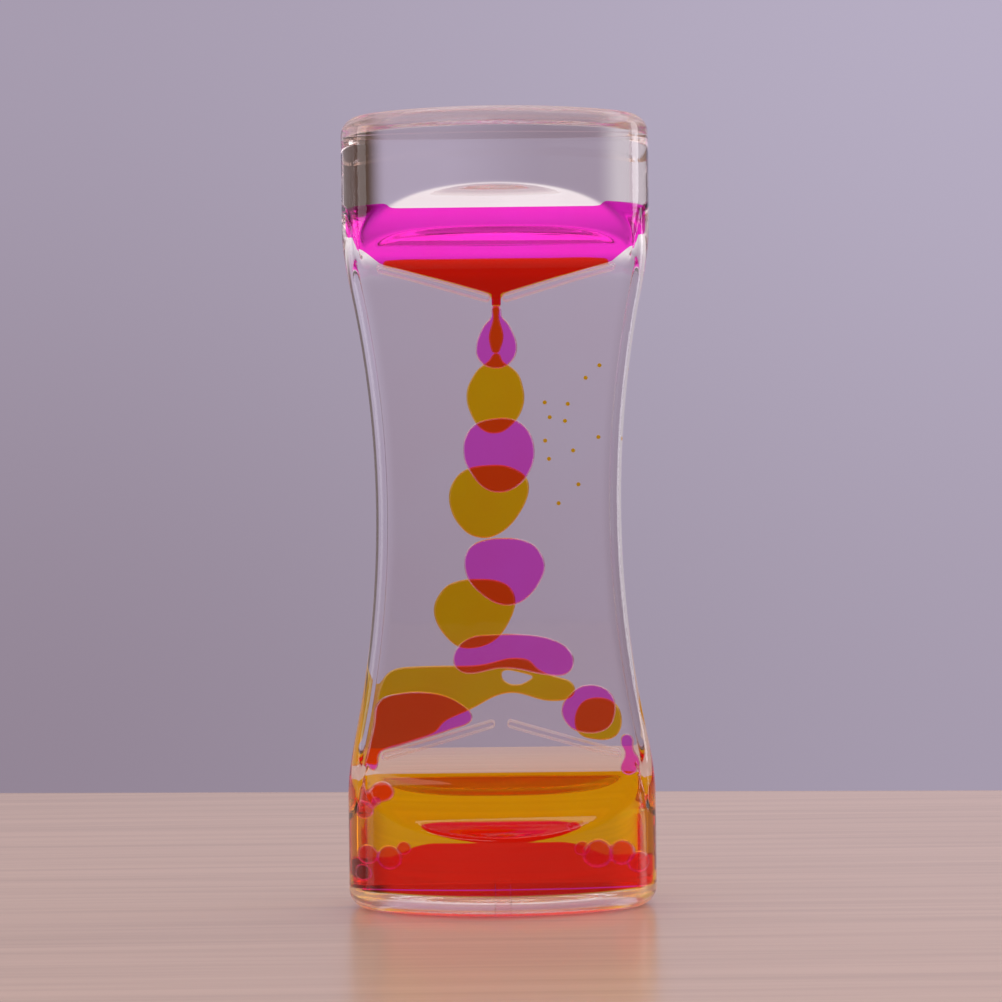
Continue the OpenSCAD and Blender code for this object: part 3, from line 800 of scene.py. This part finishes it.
TEARDROP = [(-0.75, 98.45), (-0.95, 97), (-1.94, 95.6), (-2.74, 94.3), (-3.25, 93), (-3.5, 91.65),
            (-3.37, 90.4), (-2.85, 89.5), (-2.05, 88.75), (-1.05, 88.35), (-0.1, 88.25), (0.85, 88.35),
            (1.87, 88.85), (2.76, 89.75), (3.27, 90.9), (3.37, 91.95), (3.18, 93.1), (2.67, 94.4),
            (1.95, 95.7), (0.95, 97.05), (0.6, 98.45)]
THREAD = [(-0.55, 98.5), (-0.6, 97.4), (-0.66, 96.3), (-0.98, 95.2), (-1.28, 94), (-1.26, 92.9),
          (-1.02, 91.9), (-0.68, 91.15), (0.25, 91.1), (0.62, 91.75), (1, 92.8), (1.14, 94),
          (0.9, 95.2), (0.54, 96.4), (0.45, 97.5), (0.42, 98.5)]
YELLOW_1 = [(-0.62, 90.85), (-1.14, 90.1), (-1.95, 89.33), (-3.23, 88.3), (-4.19, 86.9), (-4.85, 85.55),
            (-5.11, 84.05), (-4.98, 82.6), (-4.46, 81.06), (-3.74, 79.65), (-2.67, 78.45), (-1.49, 77.85),
            (-0.4, 77.75), (0.78, 78), (2, 78.82), (3.11, 79.94), (3.92, 81.27), (4.35, 82.6),
            (4.46, 84.07), (4.15, 85.84), (3.64, 87.3), (2.77, 88.35), (1.74, 89.1), (0.87, 89.9),
            (0.4, 90.85)]
MAGENTA_1 = [(-0.13, 80.25), (1.91, 80.19), (3.37, 79.66), (4.81, 78.41), (5.67, 76.89), (6.03, 74.84),
             (5.83, 72.94), (5.17, 71.3), (4.27, 69.95), (3.09, 68.9), (1.77, 68.2), (0.16, 67.95),
             (-1.3, 68.15), (-2.61, 68.85), (-3.76, 70), (-4.76, 71.57), (-5.48, 73.09), (-5.75, 74.84),
             (-5.64, 76.3), (-5.07, 77.76), (-3.95, 79.08), (-2.18, 79.93)]
YELLOW_2 = [(-1.98, 72.55), (-0.09, 72.6), (1.6, 72.35), (3.07, 71.75), (4.32, 70.86), (4.98, 69.59),
            (5.03, 68.33), (4.59, 66.64), (3.72, 64.95), (2.54, 63.27), (1.26, 62), (-0.22, 61.05),
            (-2.13, 60.5), (-3.6, 60.66), (-5.07, 61.26), (-6.32, 62.42), (-7.36, 63.9), (-7.97, 65.5),
            (-8.21, 67.06), (-8.04, 68.54), (-7.39, 70.01), (-6.43, 71.17), (-5.16, 71.95), (-3.67, 72.4)]
MAGENTA_2 = [(0.4, 60.58), (2.49, 60.5), (4.15, 60.15), (5.81, 59.3), (6.84, 58.08), (7.45, 56.62),
             (7.5, 55.36), (7, 53.9), (6.15, 52.44), (4.88, 50.98), (3.4, 49.93), (1.94, 49.5),
             (0.47, 49.5), (-1.19, 50.04), (-2.85, 51.19), (-4.29, 52.54), (-5.32, 54.11),
             (-5.76, 55.78), (-5.74, 57.24), (-5.27, 58.5), (-4.21, 59.6), (-2.74, 60.2), (-1.27, 60.5)]
YELLOW_3 = [(-3.47, 53.8), (-1.58, 53.72), (0.11, 53.35), (1.57, 52.51), (2.3, 51.46), (2.6, 49.98),
            (2.26, 48.29), (1.5, 46.61), (0.43, 44.92), (-1.07, 43.5), (-2.76, 42.7), (-4.46, 42.35),
            (-6.14, 42.4), (-7.4, 42.9), (-8.65, 43.97), (-9.9, 45.55), (-10.62, 47.03), (-10.92, 48.5),
            (-10.69, 49.98), (-9.83, 51.56), (-8.55, 52.83), (-6.85, 53.5), (-5.16, 53.78)]
BEAN = [(-4.52, 44.53), (-1.93, 44.76), (1.31, 44.86), (4.54, 44.7), (7.13, 44.31), (9.3, 43.6),
        (11, 42.5), (12, 40.9), (11.95, 39.4), (11.1, 38.3), (9.8, 37.85), (8.02, 37.95), (5.76, 38.3),
        (3.5, 38.85), (1.24, 39.15), (-0.7, 39.1), (-2.65, 38.68), (-4.92, 38.35), (-6.53, 38.7),
        (-7.49, 39.58), (-7.8, 40.81), (-7.46, 42.11), (-6.31, 43.56)]
LEFT_POOL = [(-20.15, 33.8), (-19.2, 34.7), (-17.25, 35.3), (-14.65, 35.6), (-12.07, 35.5), (-9.48, 35),
             (-7.23, 34.02), (-5.63, 32.88), (-4.8, 31.9), (-4.7, 30.9), (-5.5, 30.1), (-7.5, 29.4),
             (-10, 28.6), (-13, 27.72), (-16, 26.85), (-18.4, 26.15), (-19.6, 25.65), (-20.1, 24.8),
             (-20.15, 23.6), (-20.45, 22.7), (-21.05, 22.4), (-21.7, 22.8), (-21.95, 24), (-21.75, 26),
             (-21.15, 28.8), (-20.7, 31.3)]
RIGHT_MAGENTA = [(14.6, 36.4), (16.6, 36), (18.1, 34.9), (18.8, 33.1), (18.65, 31.2), (17.8, 29.45),
                 (16.2, 28.55), (14, 28.4), (11.8, 29), (10.45, 30.3), (9.85, 32), (10.2, 33.5),
                 (11.35, 34.9), (12.8, 36)]
SLIPPING = [(20.4, 28.25), (21.15, 28), (21.5, 27.2), (21.5, 26.2), (21.65, 25.2), (22, 24.2),
            (22.2, 23), (22, 21.9), (21.3, 21.15), (20.35, 21.1), (19.6, 21.7), (19.4, 22.6),
            (19.75, 23.6), (20.1, 24.6), (20.05, 25.5), (19.6, 26.3), (19.5, 27.2), (19.8, 27.95)]
ROOF_POOL = [(-19.65, 36.7), (-18.75, 38.3), (-17.2, 39.15), (-15, 39.45), (-11.8, 39.55), (-7.9, 39.55),
             (-4, 39.6), (-1.3, 40.05), (1, 40.62), (3.2, 40.7), (4.9, 40.2), (5.9, 39.15), (7.3, 38.25),
             (9.7, 37.4), (11.4, 36.8), (12.2, 35.8), (12.1, 34.65), (11, 33.8), (9, 33.48), (6.75, 33.7),
             (4.5, 34.4), (2.2, 34.9), (0.2, 34.72), (-1.75, 34), (-3.4, 33.1), (-5.4, 32.1), (-8, 31),
             (-9.7, 29.95), (-10.5, 28.95), (-12, 28.1), (-14.5, 27.3), (-17, 26.55), (-18.7, 26.05),
             (-19.75, 25.4), (-20.15, 24.3), (-20.3, 23.3), (-20.9, 22.75), (-21.6, 23), (-21.95, 24.2),
             (-21.7, 26.4), (-21.1, 29.2), (-20.4, 33)]
ROOF_HOLE = [(0.35, 38.4), (0.25, 37.6), (0.85, 36.8), (2.04, 36.35), (3.5, 36.45), (4.55, 36.95),
             (5.2, 37.5), (4.19, 38), (2.56, 38.42), (1.25, 38.65)]
RIGHT_YELLOW = [(15.25, 34), (17.5, 33.8), (19.1, 32.8), (19.85, 31.05), (19.8, 29.15), (19.1, 27.8),
                (17.4, 27), (15.3, 27.1), (13.3, 27.7), (12.35, 28.8), (12.1, 30.43), (12.61, 32.22),
                (13.7, 33.5)]

# Small drops by the magenta in the base: centre in X and Z, and radius, in millimetres
SETTLED_BALLS = [(-20.7, 9.1, 1.75), (-17.2, 8.7, 2.2), (-14.7, 10.2, 1.2), (-21.4, 6.1, 1.5),
                 (-19.6, 18.5, 2.1), (-21.2, 16.3, 1.6), (14.3, 9.1, 2.6), (18.2, 9.1, 2.3),
                 (20.9, 7.4, 1.9), (11.7, 9.9, 1.3)]

# Tiny drops that hang in the rear cell: centre in X and Z, in millimetres
SPECKS = [(7.8, 82.78), (11.6, 82.5), (8.6, 80.33), (11.1, 79.7), (14.6, 86.77), (16.9, 88.8),
          (7.8, 76.48), (8.4, 73.47), (9.9, 66.12), (13.2, 69.2), (16.6, 76.97), (12.4, 74.8)]
SPECK_RADIUS = 0.35 * MM

# Width of the round rim of a large flat drop, of a narrower one and of a thin one
ROUND_RIM, NARROW_RIM, THIN_RIM = 1.27 * MM, 0.62 * MM, 0.5 * MM

# The free drops: CAD node, outline, width of the round rim and share of the cell's depth
MAGENTA_DROPS = [
    ("magenta_forming_drop", TEARDROP, NARROW_RIM, 1.0),
    ("magenta_drop_1", MAGENTA_1, ROUND_RIM, 1.0),
    ("magenta_drop_2", MAGENTA_2, ROUND_RIM, 1.0),
    ("magenta_bean_drop", BEAN, ROUND_RIM, 1.0),
    ("magenta_right_drop", RIGHT_MAGENTA, ROUND_RIM, 1.0),
    ("magenta_slipping_drop", SLIPPING, 0.4 * MM, 0.85),
]
YELLOW_DROPS = [
    ("yellow_thread", THREAD, 0.38 * MM, 0.85),
    ("yellow_drop_1", YELLOW_1, THIN_RIM, 1.0),
    ("yellow_drop_2", YELLOW_2, ROUND_RIM, 1.0),
    ("yellow_drop_3", YELLOW_3, ROUND_RIM, 1.0),
    ("yellow_right_drop", RIGHT_YELLOW, ROUND_RIM, 1.0),
]

# The magenta left in the upper block: how far it hangs out of the funnel, how far below its top its
# edge reaches the wall of the case, and how far off that wall it is half-way up from the plates
NECK_LENGTH, SHORE_DEPTH, BULGE_GAP = 1.25 * MM, 3.8 * MM, 1.6 * MM

# Edge of the settled magenta in the front cell: depth below its top, and reach right and left
MOUND = [(2.3 * MM, 15.1 * MM, 16.6 * MM), (1.3 * MM, 12.9 * MM, 14.4 * MM),
         (0.5 * MM, 12.0 * MM, 13.5 * MM), (0.0, 10.6 * MM, 12.1 * MM)]
# Depth below its top at which it fills the whole width, and rounding of its top edge
MOUND_LEDGE = 2.4 * MM
MOUND_ROUND = 2.2 * MM


def liquid_middle():
    """Distance of the drops' middle plane from the divider's, and half their thickness."""
    case = bpy.context.scene.timer_case
    near, far = case.divider / 2, case.panel / 2 - case.wall
    return (near + far) / 2, (far - near) / 2 - bpy.context.scene.timer_liquids.film


def drop_piece(cad_node, side, outline, colour, rim, depth=1.0, hole=None):
    """A flat drop or pool between the walls of a cell, in place of a CAD node."""
    middle, half = liquid_middle()
    curve = smooth_loop(outline)
    opening = None if hole is None else smooth_loop(hole)
    piece = flat_piece(cad_node + "_liquid", curve, side * middle, half * depth, rim,
                       [finish(colour)], opening)
    return stand_in(piece, cad_node)


def floor_levels(floor):
    """Heights of the rows where a pool rounds into its cell's floor."""
    turn = np.linspace(0, math.pi / 2, 7)
    return list(floor + INNER_RIM * (1 - np.cos(turn)))


def pool_rows(form, levels, limits, top_round):
    """Rows of a pool that fills a cell between side limits, with a round edge to its top face."""
    film = bpy.context.scene.timer_liquids.film
    cell = form.hollow(film)
    soft = form.size.softness

    def bounded(right, left, inset):
        return lambda x, y, z: softer_max(cell(x, y, z), np.maximum(x - right, left - x), soft) + inset

    rows, rights, lefts = [], [], []
    top = levels[-1]
    turns = np.linspace(0, math.pi / 2, 7)[1:]
    heights = [(z, 0.0) for z in levels if z < top - top_round]
    heights += [(top - top_round * (1 - math.sin(t)), top_round * (1 - math.cos(t))) for t in turns]
    for z, inset in heights:
        right, left = limits(z)
        rows.append((z, bounded(right, left, inset)))
        rights.append(min(HALF_LINE, 0.7 * right))
        lefts.append(max(-HALF_LINE, 0.7 * left))
    rows = [(rows[0][0], None)] + rows + [(rows[-1][0], None)]
    return rows, [rights[0]] + rights + [rights[-1]], [lefts[0]] + lefts + [lefts[-1]]


def pool_piece(cad_node, side, levels, limits, colour, top_round=0.6 * MM):
    """A pool that fills the depth of its cell, in place of a CAD node."""
    form = CaseForm()
    rows, right, left = pool_rows(form, levels, limits, top_round)
    near = form.near + bpy.context.scene.timer_liquids.film
    materials = [finish("deep_" + colour)]
    piece = filling_piece(cad_node + "_liquid", side, rows, near, materials, right, left)
    return stand_in(piece, cad_node)


# Operators, one for each piece or group of like pieces


class TIMER_OT_shells(bpy.types.Operator):
    """Build the two moulded halves of the clear case"""

    bl_idname = "timer.shells"
    bl_label = "Moulded halves"

    def execute(self, context):
        materials = [finish("plastic"), finish("joint"), finish("end")]
        for cad_node, side in (("front_shell", FRONT), ("rear_shell", REAR)):
            piece = shell_piece(cad_node + "_moulding", side, materials)
            stand_in(piece, cad_node)
        return {"FINISHED"}


class TIMER_OT_divider(bpy.types.Operator):
    """Build the plate that parts the two cells"""

    bl_idname = "timer.divider"
    bl_label = "Divider plate"

    def execute(self, context):
        piece = divider_piece("divider_plate_clear", [finish("plastic"), finish("joint")])
        stand_in(piece, "divider_plate")
        return {"FINISHED"}


class TIMER_OT_plugs(bpy.types.Operator):
    """Finish the two plugs that close the fill holes in the base"""

    bl_idname = "timer.plugs"
    bl_label = "Fill plugs"

    def execute(self, context):
        for cad_node in ("front_fill_plug", "rear_fill_plug"):
            mesh = frame["nodes"][cad_node].data
            mesh.materials.clear()
            mesh.materials.append(finish("plug"))
        return {"FINISHED"}


class TIMER_OT_plates(bpy.types.Operator):
    """Build the eight thin funnel plates"""

    bl_idname = "timer.plates"
    bl_label = "Funnel plates"

    def execute(self, context):
        funnels = context.scene.timer_funnels
        case = context.scene.timer_case
        height = CAD_BOX[1].z
        half = funnels.thickness / 2
        inner = funnels.orifice / 2 + half
        length = (funnels.reach - inner) / math.cos(funnels.slope)
        turns = np.linspace(-math.pi / 2, math.pi / 2, 9)
        ends = [(length + half * math.cos(t), half * math.sin(t)) for t in turns]
        ends += [(-half * math.cos(t), -half * math.sin(t)) for t in turns]
        cos, sin = math.cos(funnels.slope), math.sin(funnels.slope)
        clear, bevel = 0.02 * MM, 0.17 * MM
        near, far = case.divider / 2 + clear, case.panel / 2 - case.wall - clear
        for cell, side in (("front", FRONT), ("rear", REAR)):
            for end, up in (("lower", False), ("upper", True)):
                for hand, across in (("left", -1), ("right", 1)):
                    outline = [(across * (inner + u * cos + v * sin),
                                funnels.tip_height - u * sin + v * cos) for u, v in ends]
                    if up:
                        outline = [(x, height - z) for x, z in outline]
                    cad_node = f"{cell}_{end}_{hand}_plate"
                    piece = flat_piece(cad_node + "_clear", np.array(outline), side * (near + far) / 2,
                                       (far - near) / 2, bevel, [finish("plate")])
                    stand_in(piece, cad_node)
        return {"FINISHED"}


class TIMER_OT_oil(bpy.types.Operator):
    """Fill the two cells with clear carrier oil"""

    bl_idname = "timer.oil"
    bl_label = "Carrier oil"

    def execute(self, context):
        form = CaseForm()
        skin = 0.05 * MM
        rows = hollow_rows(form, skin)
        for cad_node, side in (("front_oil", FRONT), ("rear_oil", REAR)):
            piece = filling_piece(cad_node + "_clear", side, rows, form.near + skin,
                                  [finish("oil")], *same_line(rows))
            stand_in(piece, cad_node)
        return {"FINISHED"}


class TIMER_OT_magenta_pools(bpy.types.Operator):
    """Build the magenta left in the upper block, on the lower plate and in the base"""

    bl_idname = "timer.magenta_pools"
    bl_label = "Magenta pools"

    def execute(self, context):
        form = CaseForm()
        self.upper_pool(form, context.scene.timer_funnels, context.scene.timer_liquids)
        self.settled_pool(form, context.scene.timer_liquids)
        drop_piece("magenta_left_pool", FRONT, LEFT_POOL, "magenta", NARROW_RIM)
        return {"FINISHED"}

    def upper_pool(self, form, funnels, liquids):
        """The pool rests on the upper plates, fills the gap between them and hangs out of it."""
        wide = CAD_BOX[1].x
        tips = form.height - funnels.tip_height
        level = form.height - liquids.magenta_left
        inner = funnels.orifice / 2 + funnels.thickness / 2
        plate_face = (funnels.thickness / 2 + liquids.film) / math.cos(funnels.slope)
        rise = math.tan(funnels.slope)
        neck = funnels.orifice / 2 - liquids.film
        plate_end = tips + rise * (funnels.reach - inner) + plate_face
        shore = level - SHORE_DEPTH

        def above_plates(z):
            on_plate = inner + (z - tips - plate_face) / rise
            if z > plate_end:
                bulge = (plate_end + 0.45 * (shore - plate_end), wide - form.size.wall - BULGE_GAP)
                on_plate = np.interp(z, [plate_end, bulge[0], shore],
                                     [funnels.reach, bulge[1], wide - form.size.wall])
            half = max(neck, on_plate)
            return half, -half

        levels = list(np.arange(tips - NECK_LENGTH, tips + plate_face, 0.25 * MM))
        levels += list(np.arange(tips + plate_face, level, 0.2 * MM)) + [level]
        pool_piece("magenta_upper_pool", FRONT, levels, above_plates, "magenta")

    def settled_pool(self, form, liquids):
        """The pool fills the base up to a ledge, and above that it narrows to a mound."""
        wide = CAD_BOX[1].x
        top = liquids.magenta_settled
        ledge = top - MOUND_LEDGE
        heights = [ledge] + [top - below for below, _, _ in MOUND]
        rights = [wide] + [right for _, right, _ in MOUND]
        lefts = [-wide] + [-left for _, _, left in MOUND]

        def mound(z):
            return float(np.interp(z, heights, rights)), float(np.interp(z, heights, lefts))

        step = 0.5 * MM
        levels = floor_levels(form.size.floor + liquids.film)
        levels += list(np.arange(levels[-1] + step, ledge, step)) + [ledge]
        levels += list(np.arange(ledge + 0.1 * MM, top, step / 2)) + [top]
        pool_piece("magenta_settled_pool", FRONT, levels, mound, "magenta", top_round=MOUND_ROUND)


class TIMER_OT_magenta_drops(bpy.types.Operator):
    """Build the magenta drops"""

    bl_idname = "timer.magenta_drops"
    bl_label = "Magenta drops"

    def execute(self, context):
        for cad_node, outline, rim, depth in MAGENTA_DROPS:
            drop_piece(cad_node, FRONT, outline, "magenta", rim, depth)
        case = context.scene.timer_case
        near = case.divider / 2 + context.scene.timer_liquids.film
        balls = [((x * MM, FRONT * (near + r * MM), z * MM), 0.97 * r * MM) for x, z, r in SETTLED_BALLS]
        piece = ball_cluster("magenta_settled_drops_liquid", balls, [finish("magenta")], squash=0.06)
        stand_in(piece, "magenta_settled_drops")
        return {"FINISHED"}


class TIMER_OT_yellow_pools(bpy.types.Operator):
    """Build the yellow left in the upper funnel, over the lower plates and in the base"""

    bl_idname = "timer.yellow_pools"
    bl_label = "Yellow pools"

    def execute(self, context):
        form = CaseForm()
        self.upper_pool(form, context.scene.timer_funnels, context.scene.timer_liquids)
        self.settled_pool(form, context.scene.timer_liquids)
        drop_piece("yellow_roof_pool", REAR, ROOF_POOL, "yellow", THIN_RIM, hole=ROOF_HOLE)
        return {"FINISHED"}

    def upper_pool(self, form, funnels, liquids):
        """The pool lies in the funnel. Its outline is in millimetres, from the tips up the right side."""
        tips = (form.height - funnels.tip_height) / MM
        level = tips + liquids.yellow_left / MM
        right = [(0.6, tips - 1.3), (0.75, tips - 0.2), (1.6, tips + 0.82), (3.4, tips + 1.45),
                 (8, tips + 2.8), (13, tips + 4.27), (17.3, tips + 5.53), (18.6, tips + 6.05),
                 (18.5, level - 0.5), (17.4, level - 0.13), (15.4, level), (11, level), (5, level)]
        left = [(-x, z) for x, z in right[::-1]]
        drop_piece("yellow_upper_pool", REAR, right + left, "yellow", THIN_RIM)

    def settled_pool(self, form, liquids):
        """The pool fills the base from side to side, up to a level top."""
        wide = CAD_BOX[1].x
        step = 0.4 * MM
        levels = floor_levels(form.size.floor + liquids.film)
        levels += list(np.arange(levels[-1] + step, liquids.yellow_settled, step))
        levels += [liquids.yellow_settled]
        pool_piece("yellow_settled_pool", REAR, levels, lambda z: (wide, -wide), "yellow")


class TIMER_OT_yellow_drops(bpy.types.Operator):
    """Build the yellow drops and the thread that feeds the first of them"""

    bl_idname = "timer.yellow_drops"
    bl_label = "Yellow drops"

    def execute(self, context):
        for cad_node, outline, rim, depth in YELLOW_DROPS:
            drop_piece(cad_node, REAR, outline, "yellow", rim, depth)
        middle, _ = liquid_middle()
        balls = [((x * MM, REAR * middle, z * MM), SPECK_RADIUS) for x, z in SPECKS]
        piece = ball_cluster("yellow_specks_liquid", balls, [finish("yellow")], squash=0.02)
        stand_in(piece, "yellow_specks")
        return {"FINISHED"}


def table_finish(colour):
    """Pale satin wood, with its grain across the view."""
    material, tree = new_material("pale_wooden_table", colour)
    place = node(tree, "ShaderNodeTexCoord", output="Object")
    along = node(tree, "ShaderNodeMapping", {"Scale": GRAIN_WAVES, "Vector": place})
    grain = node(tree, "ShaderNodeTexNoise",
                 {"Scale": 1.0, "Detail": 6.0, "Roughness": 0.65, "Vector": along}, "Fac")
    wood = blended(tree, between(tree, grain, 0.35, 0.7), colour, [0.86 * c for c in colour])
    bump = node(tree, "ShaderNodeBump", {"Strength": 0.04, "Distance": 0.1 * MM, "Height": grain})
    surface = node(tree, "ShaderNodeBsdfPrincipled",
                   {"Roughness": 0.24, "Specular IOR Level": 0.45, "Base Color": wood, "Normal": bump})
    return with_surface(material, surface)


# What the lights point at
LIT_POINT = (0, 0, 0.06)

# Soft lights: name, place, width, height, power in watts and colour
SOFTBOXES = [
    ("overhead_softbox", (0.1, 0.15, 0.75), 0.7, 0.5, 2.0, (1.0, 0.96, 0.92)),
    ("left_softbox", (-0.7, -0.1, 0.3), 0.25, 0.6, 0.8, (1.0, 0.97, 1.0)),
    ("right_softbox", (0.75, 0.15, 0.3), 0.25, 0.6, 1.6, (1.0, 0.97, 1.0)),
    ("front_softbox", (-0.3, -0.9, 0.6), 0.5, 0.4, 0.8, (1.0, 0.98, 1.0)),
]

# The table top: half its width, its depth, thickness and edge rounding, and its level just under z = 0
TABLE_HALF_WIDTH, TABLE_DEPTH, TABLE_THICK, TABLE_EDGE = 0.75, 1.1, 0.025, 0.002
TABLE_TOP = -0.03 * MM

# What a mirror reflection of the near half of the room shows, so that no haze lies on the colours
UNLIT = (0.06, 0.052, 0.06)

# How far the camera stands to the right of the timer's middle
EYE_ASIDE = 0.4 * MM


def softbox(name, place, width, height, power, colour):
    """A soft area light that is turned towards the timer and that refracted rays don't see."""
    data = bpy.data.lights.new(name, "AREA")
    data.shape = "RECTANGLE"
    data.size, data.size_y = width, height
    data.energy = power
    data.color = colour
    light = bpy.data.objects.new(name, data)
    light.location = place
    light.visible_transmission = False
    light.rotation_euler = (Vector(LIT_POINT) - Vector(place)).to_track_quat("-Z", "Y").to_euler()
    bpy.context.scene.collection.objects.link(light)


class TIMER_OT_stage(bpy.types.Operator):
    """Set up the table, the backdrop, the lights and the camera"""

    bl_idname = "timer.stage"
    bl_label = "Stage"

    def execute(self, context):
        stage = context.scene.timer_stage
        self.table(stage)
        self.backdrop(context.scene, stage)
        self.lights()
        self.camera(context.scene, stage)
        return {"FINISHED"}

    def table(self, stage):
        """The table is a slab with a rounded edge, whose far edge the camera sees."""
        wide, depth, edge = TABLE_HALF_WIDTH, TABLE_DEPTH, TABLE_EDGE
        turn = Matrix.Rotation(stage.table_turn, 4, "Z")
        corners = [(-wide, -depth), (wide, -depth), (wide, 0), (-wide, 0)]
        rows = [(TABLE_TOP, 2 * edge), (TABLE_TOP, edge), (-0.3 * edge, 0.3 * edge), (-edge, 0.0),
                (-TABLE_THICK, 0.0)]
        points = []
        for z, inset in rows:
            for x, y in corners:
                middle_y = y + depth / 2
                x_in = x - math.copysign(inset, x)
                y_in = middle_y - math.copysign(inset, middle_y) - depth / 2
                points.append(turn @ Vector((x_in, y_in, z)) + Vector((0, stage.table_far, 0)))
        faces = quads(len(rows), len(corners), closed=True)
        faces += [(0, 1, 2, 3), tuple(range(len(points) - 4, len(points)))]
        table = mesh_piece("table_top", points, faces, [table_finish(stage.table_colour)])

    def backdrop(self, scene, stage):
        """A soft lavender room with a bright ceiling, a window to the left and dark furniture right.

        Mirror reflections find the near half of it almost unlit."""
        world = bpy.data.worlds.new("lavender_room")
        scene.world = world
        world.use_nodes = True
        tree = world.node_tree
        tree.nodes.clear()
        place = node(tree, "ShaderNodeTexCoord", output="Generated")
        # The direction of sight as X, Y and Z from -1 to 1, by which each part of the room is placed
        x, y, z = node(tree, "ShaderNodeSeparateXYZ", {"Vector": place}).node.outputs
        corner = node(tree, "ShaderNodeMath",
                      {0: between(tree, x, -0.24, 0.26), 1: between(tree, z, -0.12, 0.22)}, operation="ADD")
        walls = blended(tree, product(tree, corner, 0.5), stage.wall_dark, stage.wall_light)
        furnished = blended(tree, between(tree, x, 0.45, 0.62), walls, stage.shade)
        windowed = blended(tree, between(tree, x, -0.4, -0.6), furnished, stage.window)
        room = blended(tree, between(tree, z, 0.24, 0.5), windowed, stage.ceiling)
        path = node(tree, "ShaderNodeLightPath").node.outputs
        mirrored = product(tree, path["Is Reflection Ray"], path["Is Glossy Ray"])
        unlit = product(tree, mirrored, between(tree, y, 0.3, 0.05))
        colour = blended(tree, unlit, room, UNLIT)
        light = node(tree, "ShaderNodeBackground", {"Strength": 1.0, "Color": colour})
        node(tree, "ShaderNodeOutputWorld", {"Surface": light})

    def lights(self):
        """A large soft light above and behind, and weaker ones at the sides and in front."""
        for settings in SOFTBOXES:
            softbox(*settings)

    def camera(self, scene, stage):
        """The camera looks level at the timer from in front, and the render settings suit clear parts."""
        data = bpy.data.cameras.new("photo_camera")
        data.sensor_width = 36
        data.lens = stage.lens
        data.clip_start, data.clip_end = 0.01, 20
        camera = bpy.data.objects.new("photo_camera", data)
        camera.rotation_mode = "QUATERNION"
        level = Matrix.Rotation(math.pi / 2, 4, "X") @ Matrix.Rotation(stage.roll, 4, "Z")
        camera.rotation_quaternion = level.to_quaternion()
        camera.location = (EYE_ASIDE, -stage.eye_distance, stage.eye_height)
        scene.collection.objects.link(camera)
        scene.camera = camera
        scene.view_settings.view_transform = "Standard"
        scene.cycles.max_bounces = 24
        scene.cycles.transmission_bounces = 20
        scene.cycles.glossy_bounces = 8
        scene.cycles.diffuse_bounces = 4
        scene.cycles.transparent_max_bounces = 96
        scene.cycles.use_denoising = True


OPERATORS = [
    TIMER_OT_shells,
    TIMER_OT_divider,
    TIMER_OT_plugs,
    TIMER_OT_plates,
    TIMER_OT_oil,
    TIMER_OT_magenta_pools,
    TIMER_OT_magenta_drops,
    TIMER_OT_yellow_pools,
    TIMER_OT_yellow_drops,
    TIMER_OT_stage,
]


class TIMER_PT_panel(bpy.types.Panel):
    """The timer's sizes, colours and building steps"""

    bl_label = "Liquid Motion Timer"
    bl_idname = "TIMER_PT_panel"
    bl_space_type = "VIEW_3D"
    bl_region_type = "UI"
    bl_category = "Timer"

    def draw(self, context):
        for operator in OPERATORS:
            self.layout.operator(operator.bl_idname)
        for name in PROPERTY_GROUPS:
            group = getattr(context.scene, name)
            box = self.layout.box()
            for key in group.bl_rna.properties.keys():
                if key not in {"rna_type", "name"}:
                    box.prop(group, key)


CLASSES = [*PROPERTY_GROUPS.values(), *OPERATORS, TIMER_PT_panel]


def register():
    for kind in CLASSES:
        bpy.utils.register_class(kind)
    for name, group in PROPERTY_GROUPS.items():
        setattr(bpy.types.Scene, name, PointerProperty(type=group))


def unregister():
    for name in PROPERTY_GROUPS:
        delattr(bpy.types.Scene, name)
    for kind in reversed(CLASSES):
        bpy.utils.unregister_class(kind)


def main():
    """Builds the whole scene."""
    register()
    bpy.ops.timer.shells()
    bpy.ops.timer.divider()
    bpy.ops.timer.plugs()
    bpy.ops.timer.plates()
    bpy.ops.timer.oil()
    bpy.ops.timer.magenta_pools()
    bpy.ops.timer.magenta_drops()
    bpy.ops.timer.yellow_pools()
    bpy.ops.timer.yellow_drops()
    bpy.ops.timer.stage()
    bpy.context.view_layer.update()


if __name__ == "__main__":
    main()
